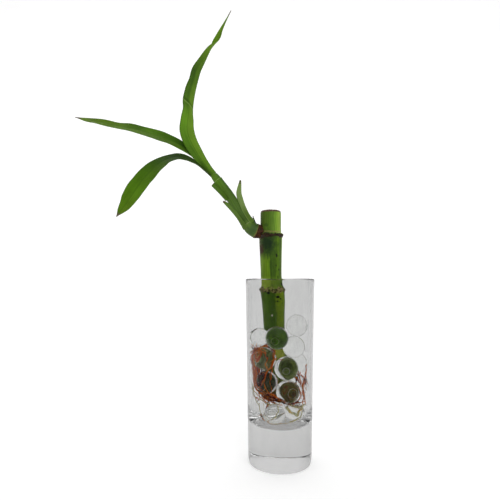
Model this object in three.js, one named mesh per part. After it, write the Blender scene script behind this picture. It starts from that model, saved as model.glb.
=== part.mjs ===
// A lucky bamboo cutting rooted in clear gel beads in a tall, narrow glass vase.
// Millimetres, +Z up. The origin is the middle of the vase's flat base, +X is
// the viewer's right and +Y points away from the viewer.
import * as THREE from "three";

// ---- Driving dimensions -------------------------------------------------------

const GAP = 0.3; // clearance between pieces that touch

const VASE = {
  height: 101.2,
  rimRadius: 19.1,
  baseRadius: 17.65,
  heelInset: 0.85, // how far the rounded heel draws the base in
  heelRise: 4.5,
  lipRadius: 0.8,
  boreRimRadius: 17.3,
  boreFootRadius: 16.5, // where the straight bore meets its rounded bottom
  boreFootHeight: 32.5,
  floorRadius: 9.5, // the flat middle of the bore's bottom
  floorHeight: 21.2,
  segments: 48,
  heelSteps: 5,
  lipSteps: 3, // in each half of the lip
  boreFootSteps: 7,
};

// The cane's axis: height, x, y.
const CANE_AXIS = [
  [35, -1.7, 5.8],
  [57, -2.5, 5.5],
  [75, -2.95, 4.5],
  [89, -3.45, 3.5],
  [95.3, -4.1, 3.1],
  [103, -4.7, 2.7],
  [118, -4.95, 2.0],
  [139.2, -5.0, 1.0],
];

// The cane's outline: height, radius. It has three node ridges.
const CANE_OUTLINE = [
  [35.0, 5.4],
  [35.9, 6.2],
  [47, 6.4],
  [61.2, 6.4],
  [63.0, 6.8],
  [64.2, 6.9],
  [65.6, 6.3],
  [74, 6.0],
  [81, 6.2],
  [89, 6.6],
  [93.8, 6.8],
  [95.3, 7.1],
  [96.5, 6.2],
  [99, 5.9],
  [106, 5.9],
  [113, 6.1],
  [120, 6.35],
  [124.4, 6.45],
  [126.0, 6.75],
  [127.1, 5.95],
  [129, 5.75],
  [137.7, 5.75],
  [138.7, 5.5],
  [139.2, 4.8],
];
const CANE_SIDES = 22;

// The side shoot: x, y, z, radius, from the cane's upper node to the leaves.
const SHOOT_SPINE = [
  [-11.75, 0.6, 127.6, 3.9],
  [-13.6, 0.2, 128.0, 3.9],
  [-15.9, -0.6, 129.4, 3.8],
  [-18.2, -1.6, 132.4, 3.3],
  [-20.7, -2.6, 136.0, 2.9],
  [-23.8, -3.6, 140.3, 2.7],
  [-27.0, -4.5, 145.3, 2.65],
  [-30.4, -5.2, 150.0, 2.6],
  [-33.8, -5.8, 154.3, 2.4],
  [-35.8, -6.0, 156.9, 2.1],
];
const SHOOT_SIDES = 12;

// Leaves: x, y, z, half width, then roll and curl in degrees, from base to tip.
// Roll 0 turns the leaf's underside to the viewer. Curl is the half angle of the
// arc that its section bends through, the edges going to the upper side.
const LEAVES = {
  leaf_upright: {
    spine: [
      [-36.2, -7.2, 157.6, 2.0, 0, 50],
      [-38.9, -7.0, 160.5, 2.3, 0, 46],
      [-42.6, -6.4, 165.3, 2.9, 0, 40],
      [-46.2, -6.0, 170.9, 3.6, 5, 34],
      [-49.3, -5.0, 176.9, 4.0, 10, 28],
      [-51.1, -4.0, 183.0, 4.1, 15, 24],
      [-50.9, -3.0, 189.0, 3.8, 25, 22],
      [-50.4, -2.0, 194.6, 3.4, 42, 22],
      [-50.5, -1.0, 200.3, 3.4, 34, 22],
      [-49.6, 0.0, 206.2, 3.3, 28, 22],
      [-48.0, 1.0, 212.2, 2.7, 32, 20],
      [-46.6, 2.0, 218.3, 2.7, 28, 18],
      [-43.5, 3.0, 224.3, 2.2, 34, 30],
      [-39.6, 4.0, 230.3, 2.2, 70, 48],
      [-35.4, 5.0, 236.4, 2.4, 148, 40],
      [-33.0, 6.0, 243.1, 1.2, 160, 30],
      [-30.2, 7.0, 249.6, 0.5, 165, 20],
      [-27.5, 8.0, 255.5, 0.25, 165, 10],
    ],
    steps: 30,
  },
  leaf_left: {
    spine: [
      [-36.6, -4.3, 158.2, 1.8, 180, 50],
      [-39.2, -4.2, 161.3, 1.9, 180, 46],
      [-42.7, -4.0, 165.0, 1.8, 185, 42],
      [-46.6, -3.6, 168.4, 1.9, 195, 34],
      [-50.6, -3.0, 171.5, 2.4, 205, 28],
      [-55.3, -2.0, 174.7, 3.1, 213, 24],
      [-61.2, -0.6, 177.8, 4.0, 218, 20],
      [-67.1, 0.8, 180.4, 4.6, 221, 18],
      [-76.1, 3.0, 183.8, 4.6, 222, 16],
      [-85.0, 5.0, 186.7, 4.2, 222, 14],
      [-94.1, 7.0, 188.8, 3.5, 222, 14],
      [-103.4, 9.0, 191.6, 2.9, 222, 12],
      [-110.7, 10.0, 193.2, 2.1, 222, 8],
      [-118.6, 11.0, 195.2, 0.25, 222, 4],
    ],
    steps: 26,
  },
  leaf_drooping: {
    spine: [
      [-37.8, -6.1, 154.3, 1.6, -82, 46],
      [-40.4, -6.9, 156.8, 1.7, -88, 44],
      [-42.8, -7.8, 159.4, 2.1, -97, 38],
      [-44.9, -9.1, 161.8, 2.7, -107, 32],
      [-47.1, -10.6, 163.4, 3.3, -117, 28],
      [-50.3, -12.4, 164.5, 3.6, -124, 24],
      [-54.3, -14.4, 164.7, 3.9, -129, 20],
      [-58.9, -16.6, 163.1, 4.3, -136, 18],
      [-62.4, -18.6, 160.6, 4.8, -146, 16],
      [-66.1, -20.6, 156.9, 5.15, -154, 14],
      [-69.7, -22.4, 152.3, 5.5, -157, 14],
      [-72.8, -24.0, 147.5, 5.5, -159, 14],
      [-75.5, -25.4, 142.6, 5.1, -161, 12],
      [-77.8, -26.5, 138.5, 3.65, -163, 10],
      [-80.2, -27.4, 134.9, 2.1, -164, 8],
      [-82.2, -28.2, 131.9, 0.25, -164, 4],
    ],
    steps: 26,
  },
};

const LEAF_THICKNESS = 0.45;
const BLADE_BACK_SHARE = 0.94; // a blade's inner face is this much narrower than its outer

// Sheaths and scales lie on the shoot. Each row: share of the way along it,
// degrees around it (0 faces up and right, -90 the viewer), lift off it, half width
// and twist in degrees. The twist turns the flat of a sheath's free end to the viewer.
const SHEATHS = {
  scale_at_base: [
    [0.06, 50, 0, 2.0, 0],
    [0.17, 48, 0.1, 1.6, 0],
    [0.26, 44, 0.6, 1.2, -20],
    [0.34, 38, 1.3, 0.45, -40],
  ],
  sheath_pointed: [
    [0.3, -36, 0, 2.6, 0],
    [0.4, -36, 0, 2.4, 0],
    [0.47, -30, 0.3, 2.0, -12],
    [0.54, -22, 0.8, 1.6, -30],
    [0.6, -16, 1.3, 1.4, -50],
    [0.67, -10, 2.6, 1.0, -55],
    [0.755, 0, 6.8, 0.4, -55],
  ],
  sheath_lower: [
    [0.28, -150, 0, 2.6, 0],
    [0.4, -158, 0, 2.4, 0],
    [0.5, -166, 0.2, 1.9, 8],
    [0.59, -172, 0.6, 1.4, 28],
    [0.685, -178, 1.7, 0.45, 45],
  ],
  sheath_cut_stub: [
    [0.67, -160, 0.1, 1.9, 0],
    [0.79, -165, 0.6, 1.8, 20],
    [0.9, -170, 1.2, 1.4, 40],
  ],
};
const SHEATH_THICKNESS = 0.4;
const SHEATH_STEPS = 10;

// Gel beads: x, y, z and radius as they should lie, before they are settled.
const BEADS = {
  bead_front_upper: [-3.1, -9.8, 69.6, 5.95],
  bead_left_upper: [-11.5, -2.8, 68.9, 5.2],
  bead_right_top: [9.8, 2.0, 75.0, 6.3],
  bead_right_upper: [7.3, -4.0, 63.7, 6.1],
  bead_front_middle: [2.5, -9.6, 53.7, 6.3],
  bead_left_middle: [-9.3, -5.0, 57.3, 6.2],
  bead_left_lower: [-7.0, -7.4, 45.9, 6.1],
  bead_right_middle: [9.4, 3.4, 53.4, 6.1],
  bead_front_lower: [3.8, -9.0, 41.2, 6.3],
  bead_right_lower: [9.4, 2.0, 41.6, 6.0],
  bead_bottom_front: [-3.2, -7.6, 27.3, 6.0],
  bead_bottom_right: [8.0, -2.6, 27.3, 5.9],
  bead_bottom_back: [-0.5, 8.0, 27.6, 6.1],
};
const BEAD_DETAIL = 2;

// Roots: radius and a route from the cane outwards, before it is settled. A root
// with a parent branches off that root.
const ROOTS = {
  root_left_outer: {
    radius: 0.55,
    route: [
      [-8.2, 0.2, 63.2],
      [-12.0, -6.0, 64.2],
      [-15.0, -5.0, 60.5],
      [-15.3, -4.8, 53],
      [-14.2, -6.5, 46.5],
      [-12.0, -8.8, 41],
      [-8.0, -11.0, 37],
      [-2.0, -11.0, 34.6],
    ],
  },
  root_left_inner: {
    radius: 0.5,
    route: [
      [-8.5, 1.5, 62.4],
      [-12.5, 0.5, 61],
      [-15.4, -1.5, 57],
      [-15.4, -2.2, 50],
      [-14.8, -3.8, 44],
      [-12.4, -6.0, 38.5],
      [-8.0, -8.0, 35.4],
      [2.5, -4.0, 33.6],
    ],
  },
  root_left_front: {
    radius: 0.5,
    route: [
      [-7.2, -0.8, 62],
      [-9.5, -9.0, 63.4],
      [-13.0, -9.4, 60],
      [-14.0, -8.2, 53],
      [-13.4, -8.6, 47],
      [-12.2, -10.2, 42.5],
      [-9.0, -12.4, 38.5],
      [-4.0, -13.0, 36],
    ],
  },
  root_loop_front: {
    radius: 0.5,
    route: [
      [-6.2, -1.4, 62.6],
      [-7.4, -8.4, 63.4],
      [-6.6, -12.4, 59.5],
      [-6.4, -13.0, 54.5],
      [-8.4, -13.4, 50],
      [-10.4, -12.2, 45.5],
      [-9.0, -12.8, 40.6],
      [-4.5, -13.0, 38],
    ],
  },
  root_loop_side: {
    radius: 0.4,
    route: [
      [-8.4, 0.6, 60.4],
      [-13.6, 0.8, 57.5],
      [-14.6, 1.4, 52],
      [-13.8, 0.6, 48],
      [-14.4, 0.4, 43],
      [-13.6, -0.8, 37],
      [-9.0, -2.4, 34],
    ],
  },
  root_sweep_low: {
    radius: 0.55,
    route: [
      [-6.4, 1.2, 41],
      [-11.0, -1.0, 38.5],
      [-13.0, -5.4, 36.5],
      [-10.4, -9.4, 34.6],
      [-6.0, -11.4, 34],
      [0.5, -11.8, 34.4],
    ],
  },
  root_sweep_high: {
    radius: 0.5,
    route: [
      [-7.2, 0.6, 46],
      [-13.0, -1.0, 43],
      [-14.4, -4.4, 39.5],
      [-12.4, -9.0, 37],
      [-7.6, -12.6, 36],
      [-1.5, -13.6, 36.8],
    ],
  },
  root_under_beads: {
    radius: 0.6,
    route: [
      [-1.8, -1.2, 37.4],
      [0.5, -5.2, 34.8],
      [5.0, -7.4, 34.3],
      [10.0, -6.8, 34.6],
      [13.6, -3.2, 33.8],
    ],
  },
  root_right_outer: {
    radius: 0.5,
    route: [
      [4.8, 3.2, 48.5],
      [8.4, -3.2, 47.6],
      [12.8, -6.8, 47.8],
      [14.6, -5.0, 43.5],
      [14.4, -4.4, 38],
      [13.6, -4.4, 32.5],
    ],
  },
  root_right_branch: {
    radius: 0.35,
    route: [
      [4.0, 1.2, 57],
      [8.0, -4.4, 56.6],
      [10.0, -8.0, 53.5],
      [12.0, -8.8, 49.8],
      [13.4, -7.4, 45.8],
      [13.0, -8.2, 40.4],
      [12.8, -7.0, 35.6],
    ],
  },
  root_right_inner: {
    radius: 0.45,
    route: [
      [3.6, 0.8, 43.5],
      [7.6, -4.2, 46.4],
      [11.6, -8.8, 43.6],
      [12.0, -10.0, 39],
      [10.6, -9.8, 35.4],
      [6.0, -9.8, 33.6],
    ],
  },
  root_pale_hook: {
    radius: 0.5,
    route: [
      [0.6, -3.6, 36.2],
      [3.2, -8.4, 33],
      [6.2, -10.6, 29.4],
      [8.2, -10.8, 27.2],
      [11.2, -8.8, 30],
      [13.2, -5.6, 33.2],
    ],
  },
  root_foot_back: {
    radius: 0.5,
    route: [
      [-4.0, 1.0, 36],
      [-8.0, 1.5, 33],
      [-9.6, 0.5, 29],
      [-9.0, -1.6, 25.4],
      [-6.4, -1.6, 22.6],
    ],
  },
  root_foot_left: {
    parent: "root_sweep_low",
    radius: 0.3,
    route: [
      [-11.5, -7.6, 34.6],
      [-11.8, -7.4, 31.5],
      [-11.4, -7.4, 28],
      [-10.2, -8.0, 25],
      [-7.6, -8.8, 23],
    ],
  },
  root_foot_front: {
    radius: 0.35,
    route: [
      [-9.6, -8.6, 33.4],
      [-9.6, -9.8, 28.4],
      [-7.0, -10.6, 24.6],
      [-2.2, -11.0, 22.4],
      [3.4, -10.0, 22.2],
      [6.8, -8.0, 22.4],
    ],
  },
  root_stray_left: {
    parent: "root_left_inner",
    radius: 0.3,
    route: [
      [-15.2, -2.4, 43.6],
      [-15.4, -3.6, 39.4],
      [-14.0, -5.6, 36],
      [-11.4, -8.4, 33.6],
    ],
  },
};
const ROOT_SIDES = 6;
const ROOT_STEPS = 24;
const ROOT_TIP_SHARE = 0.6; // the far end's radius as a share of the root's

const SETTLING_ROUNDS = 500;
const SEED_PULL = 0.02; // how hard a bead is drawn back to where it should lie
const ROOT_SMOOTHING = 0.3; // how far a root's point moves to its neighbours' middle

const LOOKS = {
  glass: { color: 0xe3e8e6, roughness: 0.04, metalness: 0 },
  gel: { color: 0xdfe6dc, roughness: 0.06, metalness: 0 },
  cane: { color: 0x5f8a2e, roughness: 0.45, metalness: 0 },
  shoot: { color: 0x5c8f2d, roughness: 0.5, metalness: 0 },
  leaf: { color: 0x4d7d1f, roughness: 0.42, metalness: 0 },
  sheath: { color: 0x7ba24a, roughness: 0.6, metalness: 0 },
  root: { color: 0xa8481c, roughness: 0.6, metalness: 0 },
};

// ---- Shared shape helpers -----------------------------------------------------

const AWAY = new THREE.Vector3(0, 1, 0);

// The value at one height of a table whose rows start with a height.
function atHeight(table, height, column) {
  const above = table.findIndex((row) => row[0] >= height);
  if (above === 0) return table[0][column];
  if (above < 0) return table[table.length - 1][column];
  const low = table[above - 1];
  const high = table[above];
  const share = (height - low[0]) / (high[0] - low[0]);
  return low[column] + share * (high[column] - low[column]);
}

// The value at a share of the way along a table, rounded through its rows.
function alongTable(table, share, column) {
  const place = share * (table.length - 1);
  const row = Math.min(Math.floor(place), table.length - 2);
  const blend = THREE.MathUtils.smoothstep(place - row, 0, 1);
  return THREE.MathUtils.lerp(table[row][column], table[row + 1][column], blend);
}

function spineCurve(rows) {
  return new THREE.CatmullRomCurve3(rows.map(([x, y, z]) => new THREE.Vector3(x, y, z)));
}

function circle(radius, sides) {
  const outline = [];
  for (let i = 0; i < sides; i++) {
    const angle = (2 * Math.PI * i) / sides;
    outline.push(new THREE.Vector2(radius * Math.cos(angle), radius * Math.sin(angle)));
  }
  return outline;
}

// One closed surface through sections, each an outline in its own plane.
function loft(sections) {
  const count = sections[0].outline.length;
  const positions = [];
  const faces = [];
  for (const { center, side, normal, outline } of sections)
    for (const { x, y } of outline) {
      const point = center.clone().addScaledVector(side, x).addScaledVector(normal, y);
      positions.push(point.x, point.y, point.z);
    }
  for (let s = 0; s + 1 < sections.length; s++)
    for (let i = 0; i < count; i++) {
      const here = s * count + i;
      const next = s * count + ((i + 1) % count);
      faces.push(here, next, here + count, next, next + count, here + count);
    }
  const last = (sections.length - 1) * count;
  for (const [a, b, c] of THREE.ShapeUtils.triangulateShape(sections[0].outline, []))
    faces.push(c, b, a);
  for (const [a, b, c] of THREE.ShapeUtils.triangulateShape(sections.at(-1).outline, []))
    faces.push(last + a, last + b, last + c);
  const geometry = new THREE.BufferGeometry();
  geometry.setAttribute("position", new THREE.Float32BufferAttribute(positions, 3));
  geometry.setIndex(faces);
  geometry.computeVertexNormals();
  return geometry;
}

// ---- The vase -----------------------------------------------------------------

// A quarter of an ellipse about a centre, as radius and height pairs.
function quarter(centerRadius, centerHeight, radial, vertical, fromDegrees, steps) {
  const points = [];
  for (let i = 0; i <= steps; i++) {
    const angle = THREE.MathUtils.degToRad(fromDegrees + (90 * i) / steps);
    points.push(
      new THREE.Vector2(
        centerRadius + radial * Math.cos(angle),
        centerHeight + vertical * Math.sin(angle),
      ),
    );
  }
  return points;
}

// The bore's wall from its rim down to the middle of its floor.
function boreProfile() {
  const { boreRimRadius, boreFootRadius, boreFootHeight, floorRadius, floorHeight } = VASE;
  const footWidth = boreFootRadius - floorRadius;
  const footRise = boreFootHeight - floorHeight;
  const foot = quarter(floorRadius, boreFootHeight, footWidth, footRise, -90, VASE.boreFootSteps);
  const rim = new THREE.Vector2(boreRimRadius, VASE.height - VASE.lipRadius);
  return [rim, ...foot.reverse(), new THREE.Vector2(0, floorHeight)];
}

function vaseGeometry() {
  const { rimRadius, boreRimRadius, baseRadius, heelInset, heelRise, lipRadius, lipSteps } = VASE;
  const heelMiddle = baseRadius - heelInset;
  const heel = quarter(heelMiddle, heelRise, heelInset, heelRise, -90, VASE.heelSteps);
  const lipWidth = (rimRadius - boreRimRadius) / 2;
  const lipMiddle = rimRadius - lipWidth;
  const lipHeight = VASE.height - lipRadius;
  const outerLip = quarter(lipMiddle, lipHeight, lipWidth, lipRadius, 0, lipSteps);
  const innerLip = quarter(lipMiddle, lipHeight, lipWidth, lipRadius, 90, lipSteps);
  const profile = [
    new THREE.Vector2(0, 0),
    ...heel,
    ...outerLip,
    ...innerLip.slice(1, -1),
    ...boreProfile(),
  ];
  const lathed = new THREE.LatheGeometry(profile, VASE.segments);
  return lathed.rotateX(Math.PI / 2); // a lathe turns about Y, the vase about Z
}

// ---- The plant ----------------------------------------------------------------

function caneAxis(height) {
  const x = atHeight(CANE_AXIS, height, 1);
  const y = atHeight(CANE_AXIS, height, 2);
  return new THREE.Vector3(x, y, height);
}

function caneGeometry() {
  const side = new THREE.Vector3(1, 0, 0);
  const sections = CANE_OUTLINE.map(([height, radius]) => ({
    center: caneAxis(height),
    side,
    normal: AWAY,
    outline: circle(radius, CANE_SIDES),
  }));
  return loft(sections);
}

const shootCurve = spineCurve(SHOOT_SPINE);

// Where the shoot is, and which way it faces, at a share of the way along it.
function shootFrame(share) {
  const along = shootCurve.getTangent(share);
  const side = new THREE.Vector3().crossVectors(AWAY, along).normalize();
  return {
    center: shootCurve.getPoint(share),
    side,
    normal: new THREE.Vector3().crossVectors(along, side),
    radius: alongTable(SHOOT_SPINE, share, 3),
  };
}

function shootGeometry() {
  const steps = 2 * SHOOT_SPINE.length;
  const sections = [];
  for (let i = 0; i <= steps; i++) {
    const frame = shootFrame(i / steps);
    sections.push({ ...frame, outline: circle(frame.radius, SHOOT_SIDES) });
  }
  return loft(sections);
}

// A blade's section: an arc across its width, thickest in the middle.
function bladeOutline(halfWidth, halfArc, thickness) {
  const bend = halfWidth / halfArc;
  const arcPoint = (share, lift) => {
    const angle = share * halfArc;
    const reach = bend + lift;
    return new THREE.Vector2(reach * Math.sin(angle), reach * Math.cos(angle) - bend);
  };
  const across = [-1, -0.5, 0, 0.5, 1];
  const inner = across.map((share) => arcPoint(share * BLADE_BACK_SHARE, -thickness / 2));
  const outer = across.map((share) => arcPoint(share, thickness / 2));
  return [...inner, ...outer.reverse()];
}

function leafGeometry({ spine, steps }) {
  const curve = spineCurve(spine);
  const sections = [];
  for (let i = 0; i <= steps; i++) {
    const share = i / steps;
    const along = curve.getTangent(share);
    const flatSide = new THREE.Vector3().crossVectors(along, AWAY).normalize();
    const roll = THREE.MathUtils.degToRad(alongTable(spine, share, 4));
    const side = flatSide.applyAxisAngle(along, roll);
    const halfArc = THREE.MathUtils.degToRad(alongTable(spine, share, 5));
    sections.push({
      center: curve.getPoint(share),
      side,
      normal: new THREE.Vector3().crossVectors(along, side),
      outline: bladeOutline(alongTable(spine, share, 3), halfArc, LEAF_THICKNESS),
    });
  }
  return loft(sections);
}

// A sheath hugs the shoot at its foot and stands off it towards its tip.
function sheathGeometry(rows) {
  const places = [];
  for (let i = 0; i <= SHEATH_STEPS; i++) {
    const [along, around, lift, halfWidth, twist] = [0, 1, 2, 3, 4].map((column) =>
      alongTable(rows, i / SHEATH_STEPS, column),
    );
    const { center, side, normal, radius } = shootFrame(along);
    const angle = THREE.MathUtils.degToRad(around);
    const outwards = side.multiplyScalar(Math.cos(angle)).addScaledVector(normal, Math.sin(angle));
    const reach = radius + GAP + SHEATH_THICKNESS / 2 + lift;
    center.addScaledVector(outwards, reach);
    const outline = bladeOutline(halfWidth, halfWidth / reach, SHEATH_THICKNESS);
    places.push({ center, outwards, outline, twist: THREE.MathUtils.degToRad(twist) });
  }
  const path = new THREE.CatmullRomCurve3(places.map(({ center }) => center));
  const sections = places.map(({ center, outwards, outline, twist }, i) => {
    const forwards = path.getTangent(i / SHEATH_STEPS);
    const side = new THREE.Vector3().crossVectors(outwards, forwards).normalize();
    side.applyAxisAngle(forwards, twist);
    const normal = new THREE.Vector3().crossVectors(forwards, side);
    return { center, side, normal, outline };
  });
  return loft(sections);
}

// ---- Settling the beads and the roots in the vase -------------------------------

const boreWall = boreProfile();

// Moves a ball's centre inwards until the ball is clear of the bore.
function keepInBore(center, reach) {
  const fromAxis = Math.hypot(center.x, center.y);
  const flat = new THREE.Vector2(fromAxis, center.z);
  for (let i = 0; i + 1 < boreWall.length; i++) {
    const wall = new THREE.Line3(
      new THREE.Vector3(boreWall[i].x, boreWall[i].y, 0),
      new THREE.Vector3(boreWall[i + 1].x, boreWall[i + 1].y, 0),
    );
    const inwards = new THREE.Vector2(
      boreWall[i + 1].y - boreWall[i].y,
      boreWall[i].x - boreWall[i + 1].x,
    ).normalize();
    const foot = wall.closestPointToPoint(new THREE.Vector3(flat.x, flat.y, 0), true, new THREE.Vector3());
    const off = new THREE.Vector2(flat.x - foot.x, flat.y - foot.y);
    const depth = off.dot(inwards) >= 0 ? off.length() : -off.length();
    if (depth < reach) flat.addScaledVector(inwards, reach - depth);
  }
  const scale = fromAxis > 0 ? Math.max(flat.x, 0) / fromAxis : 0;
  center.set(center.x * scale, center.y * scale, flat.y);
}

// Moves a ball's centre sideways until the ball is clear of the cane.
function keepOffCane(center, reach) {
  const foot = CANE_OUTLINE[0][0];
  if (center.z < foot - reach) return;
  const height = Math.max(center.z, foot);
  const away = center.clone().sub(caneAxis(height));
  away.z = Math.min(center.z - foot, 0);
  const radius = atHeight(CANE_OUTLINE, height, 1);
  const level = Math.hypot(away.x, away.y);
  if (away.z < 0 && level < radius) {
    center.z = Math.min(center.z, foot - reach);
    return;
  }
  const short = radius + reach - level;
  if (short > 0) center.addScaledVector(new THREE.Vector3(away.x, away.y, 0).normalize(), short);
}

// Brings a root's first point to the cane's wall, or to the underside of its foot.
function seatOnCane(point, reach) {
  const foot = CANE_OUTLINE[0][0];
  if (point.z < foot) {
    point.z = foot - reach;
    return;
  }
  const axis = caneAxis(point.z);
  const outwards = point.clone().sub(axis).normalize();
  point.copy(axis).addScaledVector(outwards, atHeight(CANE_OUTLINE, point.z, 1) + reach);
}

function settleBeads() {
  const beads = Object.entries(BEADS).map(([name, [x, y, z, radius]]) => ({
    name,
    radius,
    seed: new THREE.Vector3(x, y, z),
    center: new THREE.Vector3(x, y, z),
  }));
  for (let round = 0; round < SETTLING_ROUNDS; round++) {
    const pull = SEED_PULL * (1 - round / SETTLING_ROUNDS);
    for (const bead of beads) {
      bead.center.lerp(bead.seed, pull);
      for (const other of beads) {
        if (other === bead) continue;
        const apart = bead.center.clone().sub(other.center);
        const short = bead.radius + other.radius + GAP - apart.length();
        if (short <= 0) continue;
        bead.center.addScaledVector(apart.normalize(), short / 2);
        other.center.addScaledVector(apart, -short / 2);
      }
      keepOffCane(bead.center, bead.radius + GAP);
      keepInBore(bead.center, bead.radius + GAP);
    }
  }
  return beads;
}

function rootRadius(root, share) {
  return root.radius * THREE.MathUtils.lerp(1, ROOT_TIP_SHARE, share);
}

function settleRoots(beads) {
  const roots = Object.entries(ROOTS).map(([name, { radius, route, parent }]) => ({
    name,
    radius,
    parent,
    points: spineCurve(route).getSpacedPoints(ROOT_STEPS),
  }));
  for (let round = 0; round < SETTLING_ROUNDS; round++) {
    const smoothing = ROOT_SMOOTHING * (1 - round / SETTLING_ROUNDS);
    for (const root of roots) {
      const { points } = root;
      for (let i = 1; i < ROOT_STEPS; i++) {
        const middle = points[i - 1].clone().add(points[i + 1]).multiplyScalar(0.5);
        points[i].lerp(middle, smoothing);
      }
      points.forEach((point, i) => {
        const radius = rootRadius(root, i / ROOT_STEPS);
        for (const other of roots) {
          if (other === root) continue;
          for (let k = 0; k < ROOT_STEPS; k++) {
            const span = new THREE.Line3(other.points[k], other.points[k + 1]);
            const near = span.closestPointToPoint(point, true, new THREE.Vector3());
            const clear = radius + rootRadius(other, k / ROOT_STEPS) + GAP;
            const apart = point.clone().sub(near);
            const short = clear - apart.length();
            if (short > 0) point.addScaledVector(apart.normalize(), short / 2);
          }
        }
        for (const bead of beads) {
          const apart = point.clone().sub(bead.center);
          const short = bead.radius + radius + GAP - apart.length();
          if (short > 0) point.addScaledVector(apart.normalize(), short);
        }
        keepOffCane(point, radius + GAP);
        keepInBore(point, radius + GAP);
      });
      if (!root.parent) seatOnCane(points[0], root.radius + GAP);
    }
  }
  return roots;
}

function rootGeometry(root) {
  const curve = new THREE.CatmullRomCurve3(root.points);
  const frames = curve.computeFrenetFrames(ROOT_STEPS);
  const sections = [];
  for (let i = 0; i <= ROOT_STEPS; i++)
    sections.push({
      center: curve.getPointAt(i / ROOT_STEPS),
      side: frames.normals[i],
      normal: frames.binormals[i],
      outline: circle(rootRadius(root, i / ROOT_STEPS), ROOT_SIDES),
    });
  return loft(sections);
}

// ---- The assembly ---------------------------------------------------------------

const materials = {};
for (const [name, look] of Object.entries(LOOKS)) {
  materials[name] = new THREE.MeshStandardMaterial(look);
  materials[name].name = name;
}

function piece(name, geometry, look) {
  const mesh = new THREE.Mesh(geometry, materials[look]);
  mesh.name = name;
  return mesh;
}

const vase = new THREE.Group();
vase.add(piece("glass_vase", vaseGeometry(), "glass"));

const plant = new THREE.Group();
plant.add(piece("cane", caneGeometry(), "cane"));
plant.add(piece("side_shoot", shootGeometry(), "shoot"));
for (const [name, leaf] of Object.entries(LEAVES))
  plant.add(piece(name, leafGeometry(leaf), "leaf"));
for (const [name, rows] of Object.entries(SHEATHS))
  plant.add(piece(name, sheathGeometry(rows), "sheath"));

const beads = settleBeads();
const filling = new THREE.Group();
for (const { name, radius, center } of beads) {
  const bead = piece(name, new THREE.IcosahedronGeometry(radius, BEAD_DETAIL), "gel");
  bead.position.copy(center);
  filling.add(bead);
}

for (const root of settleRoots(beads))
  plant.add(piece(root.name, rootGeometry(root), "root"));

const group = new THREE.Group();
group.name = "lucky_bamboo";
group.add(vase, filling, plant);

export default group;
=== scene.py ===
"""A lucky bamboo cutting in a glass vase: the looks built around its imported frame.

Lengths in the tables are millimetres, in the frame's own axes: +X to the viewer's
right, +Y away from the viewer, +Z up, with the origin under the middle of the vase.
A tone is red, green and blue as screen values from 0 to 255.
"""

import math
import random
from types import SimpleNamespace

import bmesh
import bpy
import numpy as np
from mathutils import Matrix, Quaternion, Vector, noise


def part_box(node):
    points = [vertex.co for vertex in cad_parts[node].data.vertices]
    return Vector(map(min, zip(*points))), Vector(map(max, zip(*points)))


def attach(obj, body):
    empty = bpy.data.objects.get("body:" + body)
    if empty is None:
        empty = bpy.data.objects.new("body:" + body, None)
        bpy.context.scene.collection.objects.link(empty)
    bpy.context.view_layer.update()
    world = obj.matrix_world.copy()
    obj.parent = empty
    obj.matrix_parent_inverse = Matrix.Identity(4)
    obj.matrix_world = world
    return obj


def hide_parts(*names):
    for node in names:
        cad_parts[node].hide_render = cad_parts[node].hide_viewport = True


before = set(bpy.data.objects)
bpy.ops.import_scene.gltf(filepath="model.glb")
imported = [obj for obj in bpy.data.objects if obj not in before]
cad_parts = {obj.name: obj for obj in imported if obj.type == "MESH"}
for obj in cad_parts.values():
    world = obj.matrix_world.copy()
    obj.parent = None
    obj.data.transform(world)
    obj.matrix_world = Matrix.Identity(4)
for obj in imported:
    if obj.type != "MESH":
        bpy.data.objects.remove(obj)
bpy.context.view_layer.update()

MM = 0.001
AWAY = Vector((0, 1, 0))
draw = random.Random(7)

# ---- Sizes and places: as in the CAD, with a few finer things that it leaves out ---------

VASE = SimpleNamespace(
    height=101.2,
    rim_radius=19.1,
    base_radius=17.65,
    heel_inset=0.85,
    heel_rise=4.5,
    lip_radius=0.8,
    bore_rim_radius=17.3,
    bore_foot_radius=16.5,
    bore_foot_height=32.5,
    floor_radius=9.5,
    floor_height=21.2,
)

# Height, x and y of the cane's axis.
CANE_AXIS = [
    (35, -1.7, 5.8), (57, -2.5, 5.5), (75, -2.95, 4.5), (89, -3.45, 3.5),
    (95.3, -4.1, 3.1), (103, -4.7, 2.7), (118, -4.95, 2), (139.2, -5, 1),
]

# Height and radius of the cane, then height and reach of a flare that the CAD leaves out: the
# foot widens to the right, where it roots.
CANE_OUTLINE = [
    (35, 5.4), (35.9, 6.2), (47, 6.4), (61.2, 6.4), (63, 6.8), (64.2, 6.9), (65.6, 6.3), (74, 6),
    (81, 6.2), (89, 6.6), (93.8, 6.8), (95.3, 7.1), (96.5, 6.2), (99, 5.9), (106, 5.9), (113, 6.1),
    (120, 6.35), (124.4, 6.45), (126, 6.75), (127.1, 5.95), (129, 5.75), (137.7, 5.75),
    (138.7, 5.5), (139.2, 4.8),
]
CANE_FLARE = [(41, 3.9), (44, 2.925), (45, 2.517), (56, 1.6), (60, 0)]

# x, y, z and radius along the side shoot.
SHOOT_SPINE = [
    (-11.75, 0.6, 127.6, 3.9), (-13.6, 0.2, 128, 3.9), (-15.9, -0.6, 129.4, 3.8),
    (-18.2, -1.6, 132.4, 3.3), (-20.7, -2.6, 136, 2.9), (-23.8, -3.6, 140.3, 2.7),
    (-27, -4.5, 145.3, 2.65), (-30.4, -5.2, 150, 2.6), (-33.8, -5.8, 154.3, 2.4),
    (-35.8, -6, 156.9, 2.1),
]

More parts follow.
